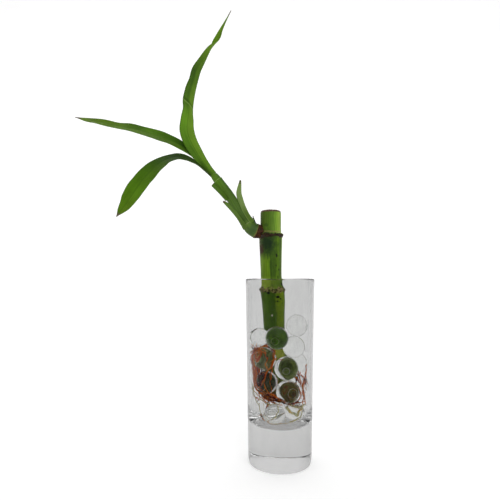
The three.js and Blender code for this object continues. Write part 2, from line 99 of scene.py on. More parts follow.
# Leaves: x, y, z, half width, roll and curl in degrees, from base to tip.
LEAVES = {
    "leaf_upright": [
        (-36.2, -7.2, 157.6, 2, 0, 50), (-38.9, -7, 160.5, 2.3, 0, 46),
        (-42.6, -6.4, 165.3, 2.9, 0, 40), (-46.2, -6, 170.9, 3.6, 5, 34),
        (-49.3, -5, 176.9, 4, 10, 28), (-51.1, -4, 183, 4.1, 15, 24),
        (-50.9, -3, 189, 3.8, 25, 22), (-50.4, -2, 194.6, 3.4, 42, 22),
        (-50.5, -1, 200.3, 3.4, 34, 22), (-49.6, 0, 206.2, 3.3, 28, 22),
        (-48, 1, 212.2, 2.7, 32, 20), (-46.6, 2, 218.3, 2.7, 28, 18),
        (-43.5, 3, 224.3, 2.2, 34, 30), (-39.6, 4, 230.3, 2.2, 70, 48),
        (-35.4, 5, 236.4, 2.4, 148, 40), (-33, 6, 243.1, 1.2, 160, 30),
        (-30.2, 7, 249.6, 0.5, 165, 20), (-27.5, 8, 255.5, 0.25, 165, 10),
    ],
    "leaf_left": [
        (-36.6, -4.3, 158.2, 1.8, 180, 50), (-39.2, -4.2, 161.3, 1.9, 180, 46),
        (-42.7, -4, 165, 1.8, 185, 42), (-46.6, -3.6, 168.4, 1.9, 195, 34),
        (-50.6, -3, 171.5, 2.4, 205, 28), (-55.3, -2, 174.7, 3.1, 213, 24),
        (-61.2, -0.6, 177.8, 4, 218, 20), (-67.1, 0.8, 180.4, 4.6, 221, 18),
        (-76.1, 3, 183.8, 4.6, 222, 16), (-85, 5, 186.7, 4.2, 222, 14),
        (-94.1, 7, 188.8, 3.5, 222, 14), (-103.4, 9, 191.6, 2.9, 222, 12),
        (-110.7, 10, 193.2, 2.1, 222, 8), (-118.6, 11, 195.2, 0.25, 222, 4),
    ],
    "leaf_drooping": [
        (-35.8, -4.8, 154.8, 1.5, -82, 46), (-38.6, -5.8, 157.4, 1.6, -88, 44),
        (-41.6, -7.2, 159.9, 2, -97, 38), (-44.4, -8.9, 162, 2.65, -107, 32),
        (-47.1, -10.6, 163.4, 3.3, -117, 28), (-50.3, -12.4, 164.5, 3.6, -124, 24),
        (-54.3, -14.4, 164.7, 3.9, -129, 20), (-58.9, -16.6, 163.1, 4.3, -136, 18),
        (-62.4, -18.6, 160.6, 4.8, -146, 16), (-66.1, -20.6, 156.9, 5.15, -154, 14),
        (-69.7, -22.4, 152.3, 5.5, -157, 14), (-72.8, -24, 147.5, 5.5, -159, 14),
        (-75.5, -25.4, 142.6, 5.1, -161, 12), (-77.8, -26.5, 138.5, 3.65, -163, 10),
        (-80.2, -27.4, 134.9, 2.1, -164, 8), (-82.2, -28.2, 131.9, 0.25, -164, 4),
    ],
}

# Sheaths: share along the shoot, degrees around it, lift, half width and twist in degrees.
SHEATHS = {
    "scale_at_base": [
        (0.06, 50, 0, 2, 0), (0.17, 48, 0.2, 1.7, 0), (0.26, 44, 1.3, 1.5, -20),
        (0.35, 38, 2.9, 0.5, -40),
    ],
    "sheath_pointed": [
        (0.3, -36, 0, 2.6, 0), (0.4, -36, 0, 2.4, 0), (0.47, -30, 0.3, 2.2, -12),
        (0.54, -22, 0.8, 2.1, -30), (0.6, -16, 1.3, 2.1, -46), (0.67, -10, 2.6, 1.7, -50),
        (0.755, 0, 6.8, 0.5, -50),
    ],
    "sheath_lower": [
        (0.28, -150, 0, 2.6, 0), (0.4, -158, 0, 2.5, 0), (0.5, -166, 0.1, 2.3, 8),
        (0.59, -172, 0.45, 2.1, 28), (0.685, -178, 1.5, 0.6, 45),
    ],
    "sheath_cut_stub": [
        (0.67, -160, 0.1, 1.9, 0), (0.79, -165, 0.5, 1.9, 20), (0.9, -170, 1.1, 1.5, 40),
    ],
}

BEADS = sorted(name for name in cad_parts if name.startswith("bead_"))
ROOTS = sorted(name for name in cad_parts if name.startswith("root_"))
PALE_ROOTS = ("root_pale_hook", "root_foot_left", "root_foot_front", "root_stray_left")
# The main strand's width as a share of the CAD tube's.
PLAIN_WIDTH, PALE_WIDTH = 0.55, 0.9
ROOT_WIDTHS = {
    "root_loop_front": 0.35,
    "root_sweep_high": 0.4,
    "root_foot_front": 0.26,
    "root_foot_left": 0.6,
    "root_pale_hook": 1.3,
}
DARK_ROOTS = ("root_loop_front", "root_sweep_high")

# Finer roots in front of, between and behind the beads: radius, tone and route.
THREADS = {
    "root_threads_left": [
        (0.43, "orange", [(-13.5, -6, 64), (-14.5, -5, 53.5), (-14, -5, 48), (-13.5, -6.5, 44),
            (-12, -8.5, 41.5), (-8.5, -11, 39.5), (-4.5, -12.5, 39)]),
        (0.4, "orange", [(-13, -7, 64), (-13.5, -7, 59), (-14, -6, 53.5), (-13.5, -6, 48),
            (-13, -8, 44), (-11, -10, 41), (-7.5, -12, 39), (-3, -12.5, 38)]),
        (0.36, "orange", [(-14, -3, 62.5), (-15, -3, 51.5), (-14.5, -3.5, 46),
            (-13.5, -5, 42), (-11.5, -7, 39), (-9, -9.5, 37)]),
        (0.36, "orange", [(-12.5, -8, 63.5), (-13.5, -8.5, 59.5), (-13, -8.5, 49.5), (-12.5, -9.5, 45.5),
            (-10, -11.5, 42.5), (-6.5, -13, 40.5), (-3, -13.5, 40)]),
        (0.27, "orange", [(-11, -11.5, 64), (-9, -13, 62.5), (-7.5, -13.5, 59.5),
            (-8, -13.5, 55), (-7, -13.5, 54)]),
        (0.3, "orange", [(-2.5, -12, 59.5), (-5, -13.5, 56), (-8, -14, 52), (-9, -13.5, 46),
            (-8.5, -13.5, 43.5), (-6.5, -13.5, 41.5), (-2.5, -13.5, 39.5)]),
        (0.18, "dark", [(-12, -11, 53), (-12.5, -12, 50), (-11, -13, 46.5), (-10.5, -13, 43.5)]),
        (0.2, "dark", [(-10, -13, 52.5), (-11.5, -13, 49.5), (-11.5, -12.5, 46.5),
            (-10, -13, 43), (-7, -13, 40.5)]),
    ],
    "root_threads_crown": [
        (0.3, "orange", [(-16, -4, 60.5), (-14.5, -6, 62.5), (-13, -9, 63.5),
            (-10.5, -11, 64), (-8.5, -11.5, 63.5), (-7.5, -11.5, 62)]),
        (0.28, "orange", [(-15.5, -4, 59), (-14.5, -6.5, 61.5), (-12.5, -9.5, 63), (-10, -11.5, 63)]),
        (0.15, "pale", [(-14, -7, 66.5), (-14.5, -6, 64.5), (-15, -5, 63)]),
        (0.2, "orange", [(-12, -9.5, 64.5), (-13, -8.5, 62.5), (-14, -6.5, 60.5)]),
        (0.2, "orange", [(-10, -10.5, 64.5), (-11.5, -11, 62.5), (-12.5, -11, 60)]),
        (0.25, "dark", [(-15.5, -3, 57.5), (-15, -4.5, 55), (-14.5, -6, 52.5)]),
        (0.2, "dark", [(-15.5, -4, 59), (-16, -3, 56), (-15, -4.5, 54.5), (-14, -7.5, 56)]),
        (0.16, "orange", [(-12.5, -9, 63), (-14.5, -6.5, 65), (-15.5, -4.5, 66)]),
        (0.15, "dark", [(-13.5, -8, 62), (-15, -5, 63.5), (-16, -3.5, 64.5)]),
        (0.16, "orange", [(-11, -10.5, 63.5), (-12.5, -9.5, 65.5), (-13, -9, 66.5)]),
        (0.15, "orange", [(-9.5, -11, 63.5), (-10, -11, 65), (-11.5, -10.5, 66)]),
        (0.16, "dark", [(-14, -7, 61.5), (-15.5, -4.5, 61.5), (-16, -3, 61)]),
        # A black strand that stands in for a dark reflection along a bead's rim: a painted reflection.
        (0.22, "black", [(-15.5, -3.5, 71.5), (-14, -6, 73.5), (-12.5, -8, 74.5)]),
    ],
    "root_threads_low": [
        (0.34, "dark", [(-12.5, -7, 41.5), (-10, -9, 39.5), (-7, -11, 38.5),
            (-3.5, -12, 38), (5, -11.5, 36.5), (9.5, -9, 35.5)]),
        (0.3, "dark", [(-11, -8, 40.5), (-9, -10, 38.5), (-6, -11.5, 37), (-2.5, -12, 36.5),
            (2, -12, 36), (6, -11, 35), (10.5, -8.5, 35)]),
        (0.34, "dark", [(-12.5, -8, 43.5), (-10.5, -10, 41.5), (-7.5, -12, 40),
            (-4, -13, 38.5), (2.5, -13, 37.5)]),
        (0.3, "dark", [(-11.5, -9.5, 42.5), (-9, -11.5, 40), (-6, -13, 39), (1, -13, 38.5)]),
        (0.3, "dark", [(-11, -9, 40), (-8.5, -11, 38.5), (-5, -12.5, 37.5), (2, -13, 36.5)]),
        (0.3, "pale", [(-11.5, -6, 37), (-7, -9.5, 34), (-5.5, -11, 34), (0, -13, 36.5)]),
        (0.32, "orange", [(-10, -10, 41.5), (-7.5, -12, 40), (-4.5, -13, 39), (2.5, -13, 37.5)]),
        (0.25, "dark", [(-10, -10, 40.5), (-8, -11, 38), (-5, -10.5, 34)]),
        (0.2, "orange", [(-9, -8, 37), (-7.5, -9, 35), (-6.5, -9.5, 33)]),
        (0.28, "dark", [(-8, -9, 40), (-5, -10, 38.5), (2.5, -11, 37)]),
        (0.22, "orange", [(-14.5, -3, 37.5), (-13.5, -4, 36.5), (-11, -6, 35.5)]),
        (0.26, "pale", [(-14.5, -2, 42), (-14, -2.5, 39), (-12, -4, 37)]),
    ],
    "root_threads_right": [
        (0.34, "orange", [(14.5, -2, 54), (13, -5, 45.5), (12, -7, 43), (11.5, -7, 33)]),
        (0.25, "orange", [(13.5, -5, 48), (13, -6, 45.5), (11.5, -7.5, 43.5),
            (11.5, -8, 40.5), (12.5, -6.5, 37), (12.5, -6.5, 34.5)]),
        (0.2, "orange", [(9, -7, 53), (9.5, -7.5, 50.5), (13, -5.5, 46)]),
        (0.18, "orange", [(10.5, -6, 51), (12, -6, 48), (13, -6, 45.5)]),
        (0.2, "orange", [(14.5, -2.5, 50), (14.5, -2.5, 47), (13, -5, 42.5), (14, -4.5, 40.5)]),
        (0.4, "dark", [(14, -4.5, 46.5), (13.5, -5, 45.5), (12.5, -6, 44.5)]),
        (0.35, "dark", [(13, -5.5, 46.5), (13.5, -5, 45), (13.5, -5, 44)]),
    ],
    "root_threads_back": [
        (0.45, "dark", [(-9.5, 2.5, 56), (-11, 4, 46), (-10.5, 3.5, 41), (-9, 2.5, 37)]),
        (0.4, "orange", [(-10, 4.5, 55), (-12, 5.5, 50.5), (-12.5, 6, 45),
            (-11.5, 5.5, 40), (-9.5, 4, 35.5)]),
        (0.45, "dark", [(-10.5, 6.5, 54), (-13, 7, 49), (-12.5, 7.5, 43.5), (-11, 7, 38.5)]),
        (0.4, "dark", [(-9.5, 9, 53), (-11.5, 9, 48), (-11.5, 9.5, 42.5), (-10, 8.5, 37)]),
        (0.35, "dark", [(-9, 1, 50), (-10, 1, 46), (-9.5, 1, 42), (-8.5, 0.5, 38)]),
        (0.2, "dark", [(9, 7.5, 47), (11, 8.5, 43), (10.5, 9, 39), (8, 8.5, 36)]),
        (0.18, "orange", [(8, 9.5, 46), (9.5, 11, 42), (8.5, 11, 38), (6.5, 10.5, 35)]),
    ],
    "root_threads_foot": [
        (0.8, "pale", [(2.5, -11.5, 33.5), (7.5, -12, 28.5), (11, -8.5, 32), (12, -7.5, 33.5)]),
        (0.4, "pale", [(4.5, -11, 24.5), (6, -11, 24.5), (10.5, -8.5, 26.5), (11.5, -8, 29.5)]),
        (0.25, "orange", [(-10.5, -8, 28), (-10, -8, 25), (-9, -8.5, 23.5)]),
        (0.3, "pale", [(-2, -12.5, 34.5), (-1.5, -14, 32), (-2.5, -14, 29.5), (-5, -14, 27.5)]),
        (0.34, "pink", [(-6.5, -12, 26.5), (-4, -10.5, 22.5), (1, -10, 22), (3.5, -9, 21)]),
    ],
}

# ---- Curves and tables --------------------------------------------------------------


def clamp(value, low=0.0, high=1.0):
    return min(max(value, low), high)


def shares(count):
    """The numbers from 0 to 1 in a count of equal steps."""
    return [i / count for i in range(count + 1)]


def circle(sides):
    """The angles of a ring's points."""
    return [2 * math.pi * k / sides for k in range(sides)]


def bell(distance, spread):
    """1 at no distance, falling smoothly to nearly 0 at twice the spread."""
    return math.exp(-((distance / spread) ** 2))


def at_height(table, height, column=1):
    heights = [row[0] for row in table]
    return float(np.interp(height, heights, [row[column] for row in table]))


def along(rows, share, column):
    """The value at a share of the way along a table, on a smooth curve through its rows."""
    values = [row[column] for row in rows]
    place = clamp(share) * (len(rows) - 1)
    row = min(int(place), len(rows) - 2)
    t = place - row
    here, after = values[row], values[row + 1]
    before = values[max(row - 1, 0)]
    beyond = values[min(row + 2, len(rows) - 1)]
    return hermite(here, after, (after - before) / 2, (beyond - here) / 2, t)


def hermite(start, end, start_slope, end_slope, t):
    return (
        start
        + start_slope * t
        + (3 * (end - start) - 2 * start_slope - end_slope) * t**2
        + (2 * (start - end) + start_slope + end_slope) * t**3
    )


def spine_point(rows, share):
    """The centripetal curve through a table's points, as in the CAD."""
    points = [Vector(row[:3]) for row in rows]
    place = share * (len(points) - 1)
    row = int(clamp(int(place), 0, len(points) - 2))
    start, end = points[row], points[row + 1]
    before = points[row - 1] if row > 0 else 2 * start - end
    beyond = points[row + 2] if row + 2 < len(points) else 2 * end - start
    d0, d1, d2 = [
        max((b - a).length ** 0.5, 1e-4)
        for a, b in ((before, start), (start, end), (end, beyond))
    ]
    slope0 = ((start - before) / d0 - (end - before) / (d0 + d1) + (end - start) / d1) * d1
    slope1 = ((end - start) / d1 - (beyond - start) / (d1 + d2) + (beyond - end) / d2) * d1
    return hermite(start, end, slope0, slope1, place - row)


def spine_tangent(rows, share):
    step = 1e-4
    low, high = max(share - step, 0), min(share + step, 1)
    return (spine_point(rows, high) - spine_point(rows, low)).normalized()


def headings(points):
    """The direction of a line at each of its points."""
    last = len(points) - 1
    return [(points[min(i + 1, last)] - points[max(i - 1, 0)]).normalized() for i in range(last + 1)]


def turned(vector, axis, degrees):
    return Quaternion(axis, math.radians(degrees)) @ vector


def wobble(*place, scale=1.0, seed=0):
    """Smooth noise from -1 to 1 at a place, the same every run."""
    x, y, z = (*place, 0, 0, 0)[:3]
    return noise.noise(Vector((x * scale + 17.3 * seed, y * scale - 5.1 * seed, z * scale)))


# ---- Mesh building -------------------------------------------------------------------


def new_object(name, data):
    made = bpy.data.objects.new(name, data)
    bpy.context.scene.collection.objects.link(made)
    return made


class Skin:
    """Gathers closed surfaces, in millimetres, and makes them one piece."""

    def __init__(self):
        self.vertices, self.faces, self.uvs, self.slots = [], [], [], []

    def add_loft(self, rings, columns_u, rows_v, slot_at=lambda row, column: 0):
        """A closed skin through rings of points, with u for each column and v for each ring."""
        count, last = len(rings[0]), len(rings) - 1
        start = len(self.vertices)
        for ring in rings:
            self.vertices += ring
        for row in range(last):
            for i in range(count):
                a, b = start + row * count + i, start + row * count + (i + 1) % count
                self.faces.append((a, b, b + count, a + count))
                left, right = columns_u[i], columns_u[i + 1]
                low, high = rows_v[row], rows_v[row + 1]
                self.uvs += [(left, low), (right, low), (right, high), (left, high)]
                self.slots.append(slot_at(row, i))
        for row, order in ((0, -1), (last, 1)):
            self.vertices.append(sum((Vector(p) for p in rings[row]), Vector()) / count)
            middle = len(self.vertices) - 1
            for i in range(count):
                a, b = start + row * count + i, start + row * count + (i + 1) % count
                self.faces.append((*(a, b)[::order], middle))
                ends = ((columns_u[i], rows_v[row]), (columns_u[i + 1], rows_v[row]))[::order]
                self.uvs += [*ends, (0.5, rows_v[row])]
                self.slots.append(slot_at(row, 0))

    def add_tube(self, points, radii, sides=8, lumps=0.0, seed=0, slot=0):
        """A round tube along points, on frames that don't twist."""
        rings, rows_v = [], []
        side = None
        length = 0.0
        for i, (centre, forwards) in enumerate(zip(points, headings(points))):
            side = forwards.orthogonal() if side is None else side
            side = (side - forwards * side.dot(forwards)).normalized()
            up = forwards.cross(side)
            if i:
                length += (centre - points[i - 1]).length
            rows_v.append(length)
            ring = []
            for angle in circle(sides):
                out = side * math.cos(angle) + up * math.sin(angle)
                lump = 1 + lumps * wobble(*(centre * 1.3 + out), seed=seed)
                ring.append(centre + out * radii[i] * lump)
            rings.append(ring)
        self.add_loft(rings, shares(sides), rows_v, lambda row, column: slot)

    def piece(self, name, materials, uvs=True):
        mesh = bpy.data.meshes.new(name)
        mesh.from_pydata([Vector(v) * MM for v in self.vertices], [], self.faces)
        if uvs:
            layer = mesh.uv_layers.new(name="UVMap")
            layer.data.foreach_set("uv", [value for pair in self.uvs for value in pair])
        for material in materials:
            mesh.materials.append(material)
        mesh.polygons.foreach_set("material_index", self.slots)
        mesh.polygons.foreach_set("use_smooth", [True] * len(mesh.polygons))
        mesh.update()
        return new_object(name, mesh)


def place_piece(piece, slot, *nodes):
    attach(piece, "root")
    if nodes:
        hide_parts(*nodes)
    return piece


# ---- Material helpers ----------------------------------------------------------------


def srgb(red, green, blue):
    """A colour from a tone."""
    return tuple(
        c / 12.92 if c <= 0.04045 else ((c + 0.055) / 1.055) ** 2.4
        for c in (red / 255, green / 255, blue / 255)
    )


def colours(stops):
    """A ramp's positions and colours, from stops of position, red, green and blue."""
    return [(position, srgb(*tone)) for position, *tone in stops]


class Value:
    """What a node works out at each point of a surface, with the arithmetic for numbers."""

    def __init__(self, look, socket):
        self.look = look
        self.socket = socket

    def __add__(self, other):
        return self.look.math("ADD", self, other)

    def __sub__(self, other):
        return self.look.math("SUBTRACT", self, other)

    def __mul__(self, other):
        return self.look.math("MULTIPLY", self, other)

    def __truediv__(self, other):
        return self.look.math("DIVIDE", self, other)

    def __abs__(self):
        return self.look.math("ABSOLUTE", self)

    def linear(self, low, high, to_low=0.0, to_high=1.0, kind="LINEAR"):
        """Maps low..high to to_low..to_high, clamped."""
        feeds = {"Value": self, "From Min": low, "From Max": high, "To Min": to_low, "To Max": to_high}
        made = self.look.node("MapRange", feeds, interpolation_type=kind)
        return Value(self.look, made.outputs["Result"])

    def spread(self, low, high, to_low=0.0, to_high=1.0):
        """The same with soft ends."""
        return self.linear(low, high, to_low, to_high, "SMOOTHSTEP")

    def band(self, centre, half, soft):
        """1 within half of the centre, falling to 0 over soft."""
        return abs(self - centre).spread(half, half + soft, 1.0, 0.0)


class Look:
    """A procedural material: layers of colour on one Principled shader."""

    def __init__(self, name, **inputs):
        self.material = bpy.data.materials.new(name)
        self.material.use_nodes = True
        self.tree = self.material.node_tree
        self.shader = self.tree.nodes["Principled BSDF"]
        self.set(**inputs)
        coordinates = Value(self, self.node("TexCoord").outputs["Object"])
        scaled = self.node("VectorMath", {0: coordinates, "Scale": 1 / MM}, operation="SCALE")
        self.place = Value(self, scaled.outputs[0])  # in the frame, in millimetres
        self.colour = self.u = self.v = None

    def node(self, kind, feeds=None, **settings):
        """A new node. feeds has its inputs by name or number."""
        made = self.tree.nodes.new("ShaderNode" + kind)
        for key, value in settings.items():
            setattr(made, key, value)
        for key, value in (feeds or {}).items():
            self.feed(made.inputs[key], value)
        return made

    def feed(self, socket, value):
        if isinstance(value, Value):
            self.tree.links.new(value.socket, socket)
        elif isinstance(value, tuple) and len(value) == 3 and socket.type == "RGBA":
            socket.default_value = (*value, 1)
        else:
            socket.default_value = value

    def set(self, **inputs):
        for key, value in inputs.items():
            self.feed(self.shader.inputs[key.replace("_", " ")], value)

    def finish(self, relief, depth, strength, **inputs):
        """Connects the colour, a bump of a depth in millimetres and any other inputs."""
        feeds = {"Strength": strength, "Distance": depth * MM, "Height": relief}
        bump = Value(self, self.node("Bump", feeds).outputs[0])
        self.set(Base_Color=self.colour, Normal=bump, **inputs)
        return self.material

    def math(self, operation, *numbers):
        return Value(self, self.node("Math", dict(enumerate(numbers)), operation=operation).outputs[0])

    def join(self, x, y, z=0.0):
        return Value(self, self.node("CombineXYZ", {0: x, 1: y, 2: z}).outputs[0])

    def split(self, vector):
        return [Value(self, part) for part in self.node("SeparateXYZ", {0: vector}).outputs]

    def uv(self):
        """The two UV numbers of a piece."""
        self.u, self.v = self.split(Value(self, self.node("UVMap").outputs[0]))[:2]
        return self.u, self.v

    def noise(self, scale, detail=3.0, roughness=0.5, distortion=0.0, at=None):
        """Noise from 0 to 1, at the place in the frame or at another vector."""
        feeds = {
            "Vector": at or self.place,
            "Scale": scale,
            "Detail": detail,
            "Roughness": roughness,
            "Distortion": distortion,
        }
        return Value(self, self.node("TexNoise", feeds).outputs["Fac"])

    def facing(self):
        """0 where a surface faces the ray and 1 where it is seen edge on."""
        return Value(self, self.node("LayerWeight", {"Blend": 0.5}).outputs["Facing"])

    def spot(self, centre, size, soft=0.35, ragged=None):
        """1 inside an ellipse on the UV map and 0 outside it, with a soft ragged edge."""
        du = (self.u - centre[0]) / size[0]
        dv = (self.v - centre[1]) / size[1]
        far = self.math("SQRT", du * du + dv * dv)
        if ragged is not None:
            far = far + ragged
        return far.spread(1 - soft, 1 + soft, 1.0, 0.0)

    def hoop(self, centre, radius, width):
        """1 on a thin shell around a centre, in millimetres, and 0 off it."""
        off = self.node("VectorMath", {0: self.place, 1: centre}, operation="DISTANCE")
        return Value(self, off.outputs["Value"]).band(radius, width * 0.4, width * 0.6)

    def mix(self, share, first, second, blend="MIX"):
        made = self.node("Mix", {"Factor": share}, data_type="RGBA", blend_type=blend)
        sides = [s for s in made.inputs if s.type == "RGBA"]
        self.feed(sides[0], first)
        self.feed(sides[1], second)
        return Value(self, next(s for s in made.outputs if s.type == "RGBA"))

    def ramp(self, share, stops):
        """A run of colours, from positions and colours."""
        made = self.node("ValToRGB", {0: share})
        elements = made.color_ramp.elements
        while len(elements) > 1:
            elements.remove(elements[0])
        elements[0].position = stops[0][0]
        elements[0].color = (*stops[0][1], 1)
        for position, colour in stops[1:]:
            elements.new(position).color = (*colour, 1)
        return Value(self, made.outputs[0])

    def tint(self, share, colour):
        """Lays a colour over the one so far, as strongly as share says."""
        self.colour = self.mix(share, self.colour, colour)

    def paint(self, share, tone):
        self.tint(share, srgb(*tone))

    def shade(self, level, blue=None):
        """Multiplies the colour so far by a level, and its blue by another where there is one."""
        self.colour = self.mix(1.0, self.colour, self.join(level, level, blue or level), "MULTIPLY")


# ---- The glass and the gel -----------------------------------------------------------

# The outside's grey tint is partly the glass's own and partly painted shade, which darkens all that is
# seen through the wall.
GLASS_TINT = (0.547, 0.547, 0.545)
BORE_TINT = (0.985, 0.99, 0.988)
GLASS_GLOSS = (0.12, 0.12, 0.12)
GEL_GLOSS = (0.18, 0.18, 0.18)
# Dried drops on the glass: centre, radius and line width.
WATER_MARKS = (
    ((13.4, -13.1, 75.8), 0.95, 0.5),
    ((-15.6, -10.7, 91.5), 0.0, 1.1),
    ((16.9, 7.6, 60.0), 0.7, 0.4),
    ((-9.0, 16.4, 70.0), 0.8, 0.4),
    ((4.0, 18.2, 48.0), 0.0, 0.9),
)
# Flat rings where the front beads press on the glass: centre and radius.
BEAD_RINGS = (
    ((-3.6, -16.3, 68.7), 1.95),
    ((2.2, -15.76, 53.2), 1.75),
    ((5.6, -14.73, 41.3), 2.5),
)
RING_WIDTH = 0.28


def glass_look(name, tint, edge_shade, water_marks=()):
    look = Look(name, Transmission_Weight=1.0, IOR=1.5, Specular_Tint=GLASS_GLOSS)
    look.colour = look.mix(look.noise(0.12, 2.0), tint, tuple(c * 0.97 for c in tint))
    stretched = look.node("VectorMath", {0: look.place, 1: (1.0, 1.0, 0.12)}, operation="MULTIPLY")
    streaks = look.noise(0.9, 3.0, 0.6, at=Value(look, stretched.outputs[0]))
    dust = look.noise(1.3, 3.0, 0.6)
    layers = [
        (streaks.spread(0.45, 0.75, 0.0, 0.5), 0.86),
        (dust.spread(0.62, 0.72, 0.0, 0.6), 0.8),
        # A wall seen edge on lets less light through.
        # Painted shade: the wall's colour darkens where it is seen edge on.
        (look.facing().spread(0.25, 0.95, 0.0, edge_shade), 0.3),
    ]
    layers += [(look.hoop(*mark), 0.62) for mark in water_marks]
    for share, level in layers:
        look.tint(share, tuple(c * level for c in tint))
    smear = look.noise(0.5, 3.0).spread(0.55, 0.85, 0.0, 0.03)
    return look.finish(look.noise(0.09, 1.0), 0.06, 0.3, Roughness=smear)


def gel_look():
    look = Look("gel", Transmission_Weight=1.0, IOR=1.335, Specular_Tint=GEL_GLOSS)
    look.colour = look.mix(look.noise(0.2, 2.0), (0.985, 0.99, 0.98), (0.995, 0.998, 0.992))
    streaks = look.noise(0.75, 4.0, 0.6, 1.2).linear(0.42, 0.66, 0.0, 0.55)
    front = look.split(look.place)[1].spread(-12.5, -14.5, 0.25, 1.0)
    look.tint(streaks * front, (0.52, 0.56, 0.5))
    # A painted tan rim of light round each bead, where its skin is seen edge on.
    look.tint(look.facing().spread(0.74, 0.9, 0.0, 0.8), (0.6, 0.56, 0.4))
    rough = look.noise(0.8, 2.0).spread(0.5, 0.9, 0.0, 0.02)
    for centre, radius in BEAD_RINGS:
        look.tint(look.hoop(centre, 0.0, radius * 1.1), (0.6, 0.66, 0.6))
        rough = rough + look.hoop(centre, radius, RING_WIDTH) * 0.45
    return look.finish(look.noise(0.35, 1.0), 0.03, 0.2, Roughness=rough)


# ---- The leaves' look ----------------------------------------------------------------

LEAF_SHEEN = 0.04
SHEEN = 0.15  # how glossy the plant's other skins are; 0.5 is a plain varnish
RIM = (112, 146, 40)
RIM_DARK = (58, 84, 14)
# A painted highlight and a painted shade line along a leaf's crease.
CREASE_HIGHLIGHT, CREASE_SHADE = (136, 166, 84), (44, 70, 10)
DRY_TIP = (96, 86, 66)

# Each face's stops from base to tip, for the halves on either side of the midrib, then the
# rims' and midribs' tones on both faces, the place of a crease and how folded the blade is.
# The halves' stops hold painted shade: one half of leaf_left is darker, one half of leaf_upright darkens
# beyond its crease, and leaf_drooping is darker from its base to its bend.
LEAF_FACES = {
    "leaf_upright": {
        "upper": (
            [(0.0, 74, 122, 22), (0.78, 89, 132, 22), (0.88, 104, 141, 36)],
            [(0.0, 68, 110, 20), (0.78, 83, 122, 22), (0.88, 97, 130, 34)],
        ),
        "under": (
            [(0.0, 84, 118, 32), (0.2, 106, 144, 40), (0.45, 98, 134, 38), (0.66, 80, 112, 34),
                (0.78, 96, 128, 38)],
            [(0.0, 76, 108, 32), (0.22, 86, 126, 34), (0.35, 98, 142, 34), (0.44, 76, 112, 30),
                (0.64, 62, 92, 28), (0.78, 98, 132, 38)],
        ),
        "rims": (RIM, RIM_DARK),
        "ribs": ((66, 108, 20), (70, 110, 18)),
        "crease": 0.445,
        "fold": 0.15,
    },
    "leaf_left": {
        "upper": (
            [(0.0, 72, 108, 18), (0.4, 74, 106, 16), (0.7, 84, 118, 18), (0.95, 100, 130, 34)],
            [(0.0, 70, 103, 18), (0.38, 52, 86, 12), (0.6, 78, 118, 16), (0.66, 64, 100, 14),
                (0.75, 86, 120, 20), (0.95, 98, 126, 36)],
        ),
        "under": (
            [(0.0, 79, 122, 22), (1.0, 83, 122, 24)],
            [(0.0, 74, 117, 22), (1.0, 81, 119, 24)],
        ),
        "rims": ((92, 128, 36), RIM),
        "ribs": ((64, 101, 18), (97, 137, 36)),
        "crease": None,
        "fold": 0.08,
    },
    "leaf_drooping": {
        "upper": (
            [(0.0, 47, 66, 22), (0.42, 43, 66, 18), (0.58, 66, 97, 19), (0.75, 85, 126, 22),
                (0.95, 91, 122, 29)],
            [(0.0, 47, 68, 20), (0.42, 37, 59, 16), (0.55, 54, 86, 16), (0.75, 81, 122, 19),
                (0.95, 83, 117, 22)],
        ),
        "under": ([(0.0, 47, 66, 22), (0.4, 45, 66, 20), (1.0, 76, 113, 24)],) * 2,
        "rims": ((82, 116, 26), RIM_DARK),
        "ribs": ((62, 95, 18), (89, 124, 36)),
        "crease": None,
        "fold": 0.06,
    },
}


def leaf_look(name, halves, rim, rib, crease, seed):
    """A leaf's face. u runs across it and v from its base to its tip."""
    look = Look(name, Specular_IOR_Level=LEAF_SHEEN)
    u, v = look.uv()
    across = u + (look.noise(3.0, 1.0, at=look.join(v, seed)) - 0.5) * 0.03
    # The halves' stops hold painted shade, as LEAF_FACES says.
    below, above = [look.ramp(v, colours(half)) for half in halves]
    look.colour = look.mix(across.spread(0.42, 0.58), below, above)
    streaks = look.noise(1.0, 3.0, 0.65, at=look.join(across * 30.0, v * 1.6, seed))
    tone = streaks * 0.65 + look.noise(0.16, 3.0) * 0.35
    look.shade(tone.linear(0.38, 0.62, 0.76, 1.22))
    veins = look.math("SINE", across * 130.0 + streaks * 2.5)
    look.paint(veins.spread(0.1, 1.0, 0.0, 0.22), rib)
    middle = abs(across - 0.5).spread(0.008, 0.035, 1.0, 0.0)
    look.paint(middle * 0.5, rib)
    if crease:
        # A painted highlight line and a painted shade line along the crease.
        slant = v + (u - 0.5) * -0.05
        look.paint(slant.band(crease, 0.001, 0.006) * 0.5, CREASE_HIGHLIGHT)
        look.paint(slant.band(crease + 0.012, 0.002, 0.012) * 0.5, CREASE_SHADE)
    look.paint(abs(u - 0.5).spread(0.44, 0.495, 0.0, 0.6), rim)
    ragged = (look.noise(0.8, 3.0) - 0.5) * 0.03
    look.paint((v + ragged).spread(0.95, 0.98), DRY_TIP)
    roughness = streaks.linear(0.3, 0.7, 0.42, 0.58)
    return look.finish(veins * 0.35 - middle * 1.2, 0.06, 0.6, Roughness=roughness)
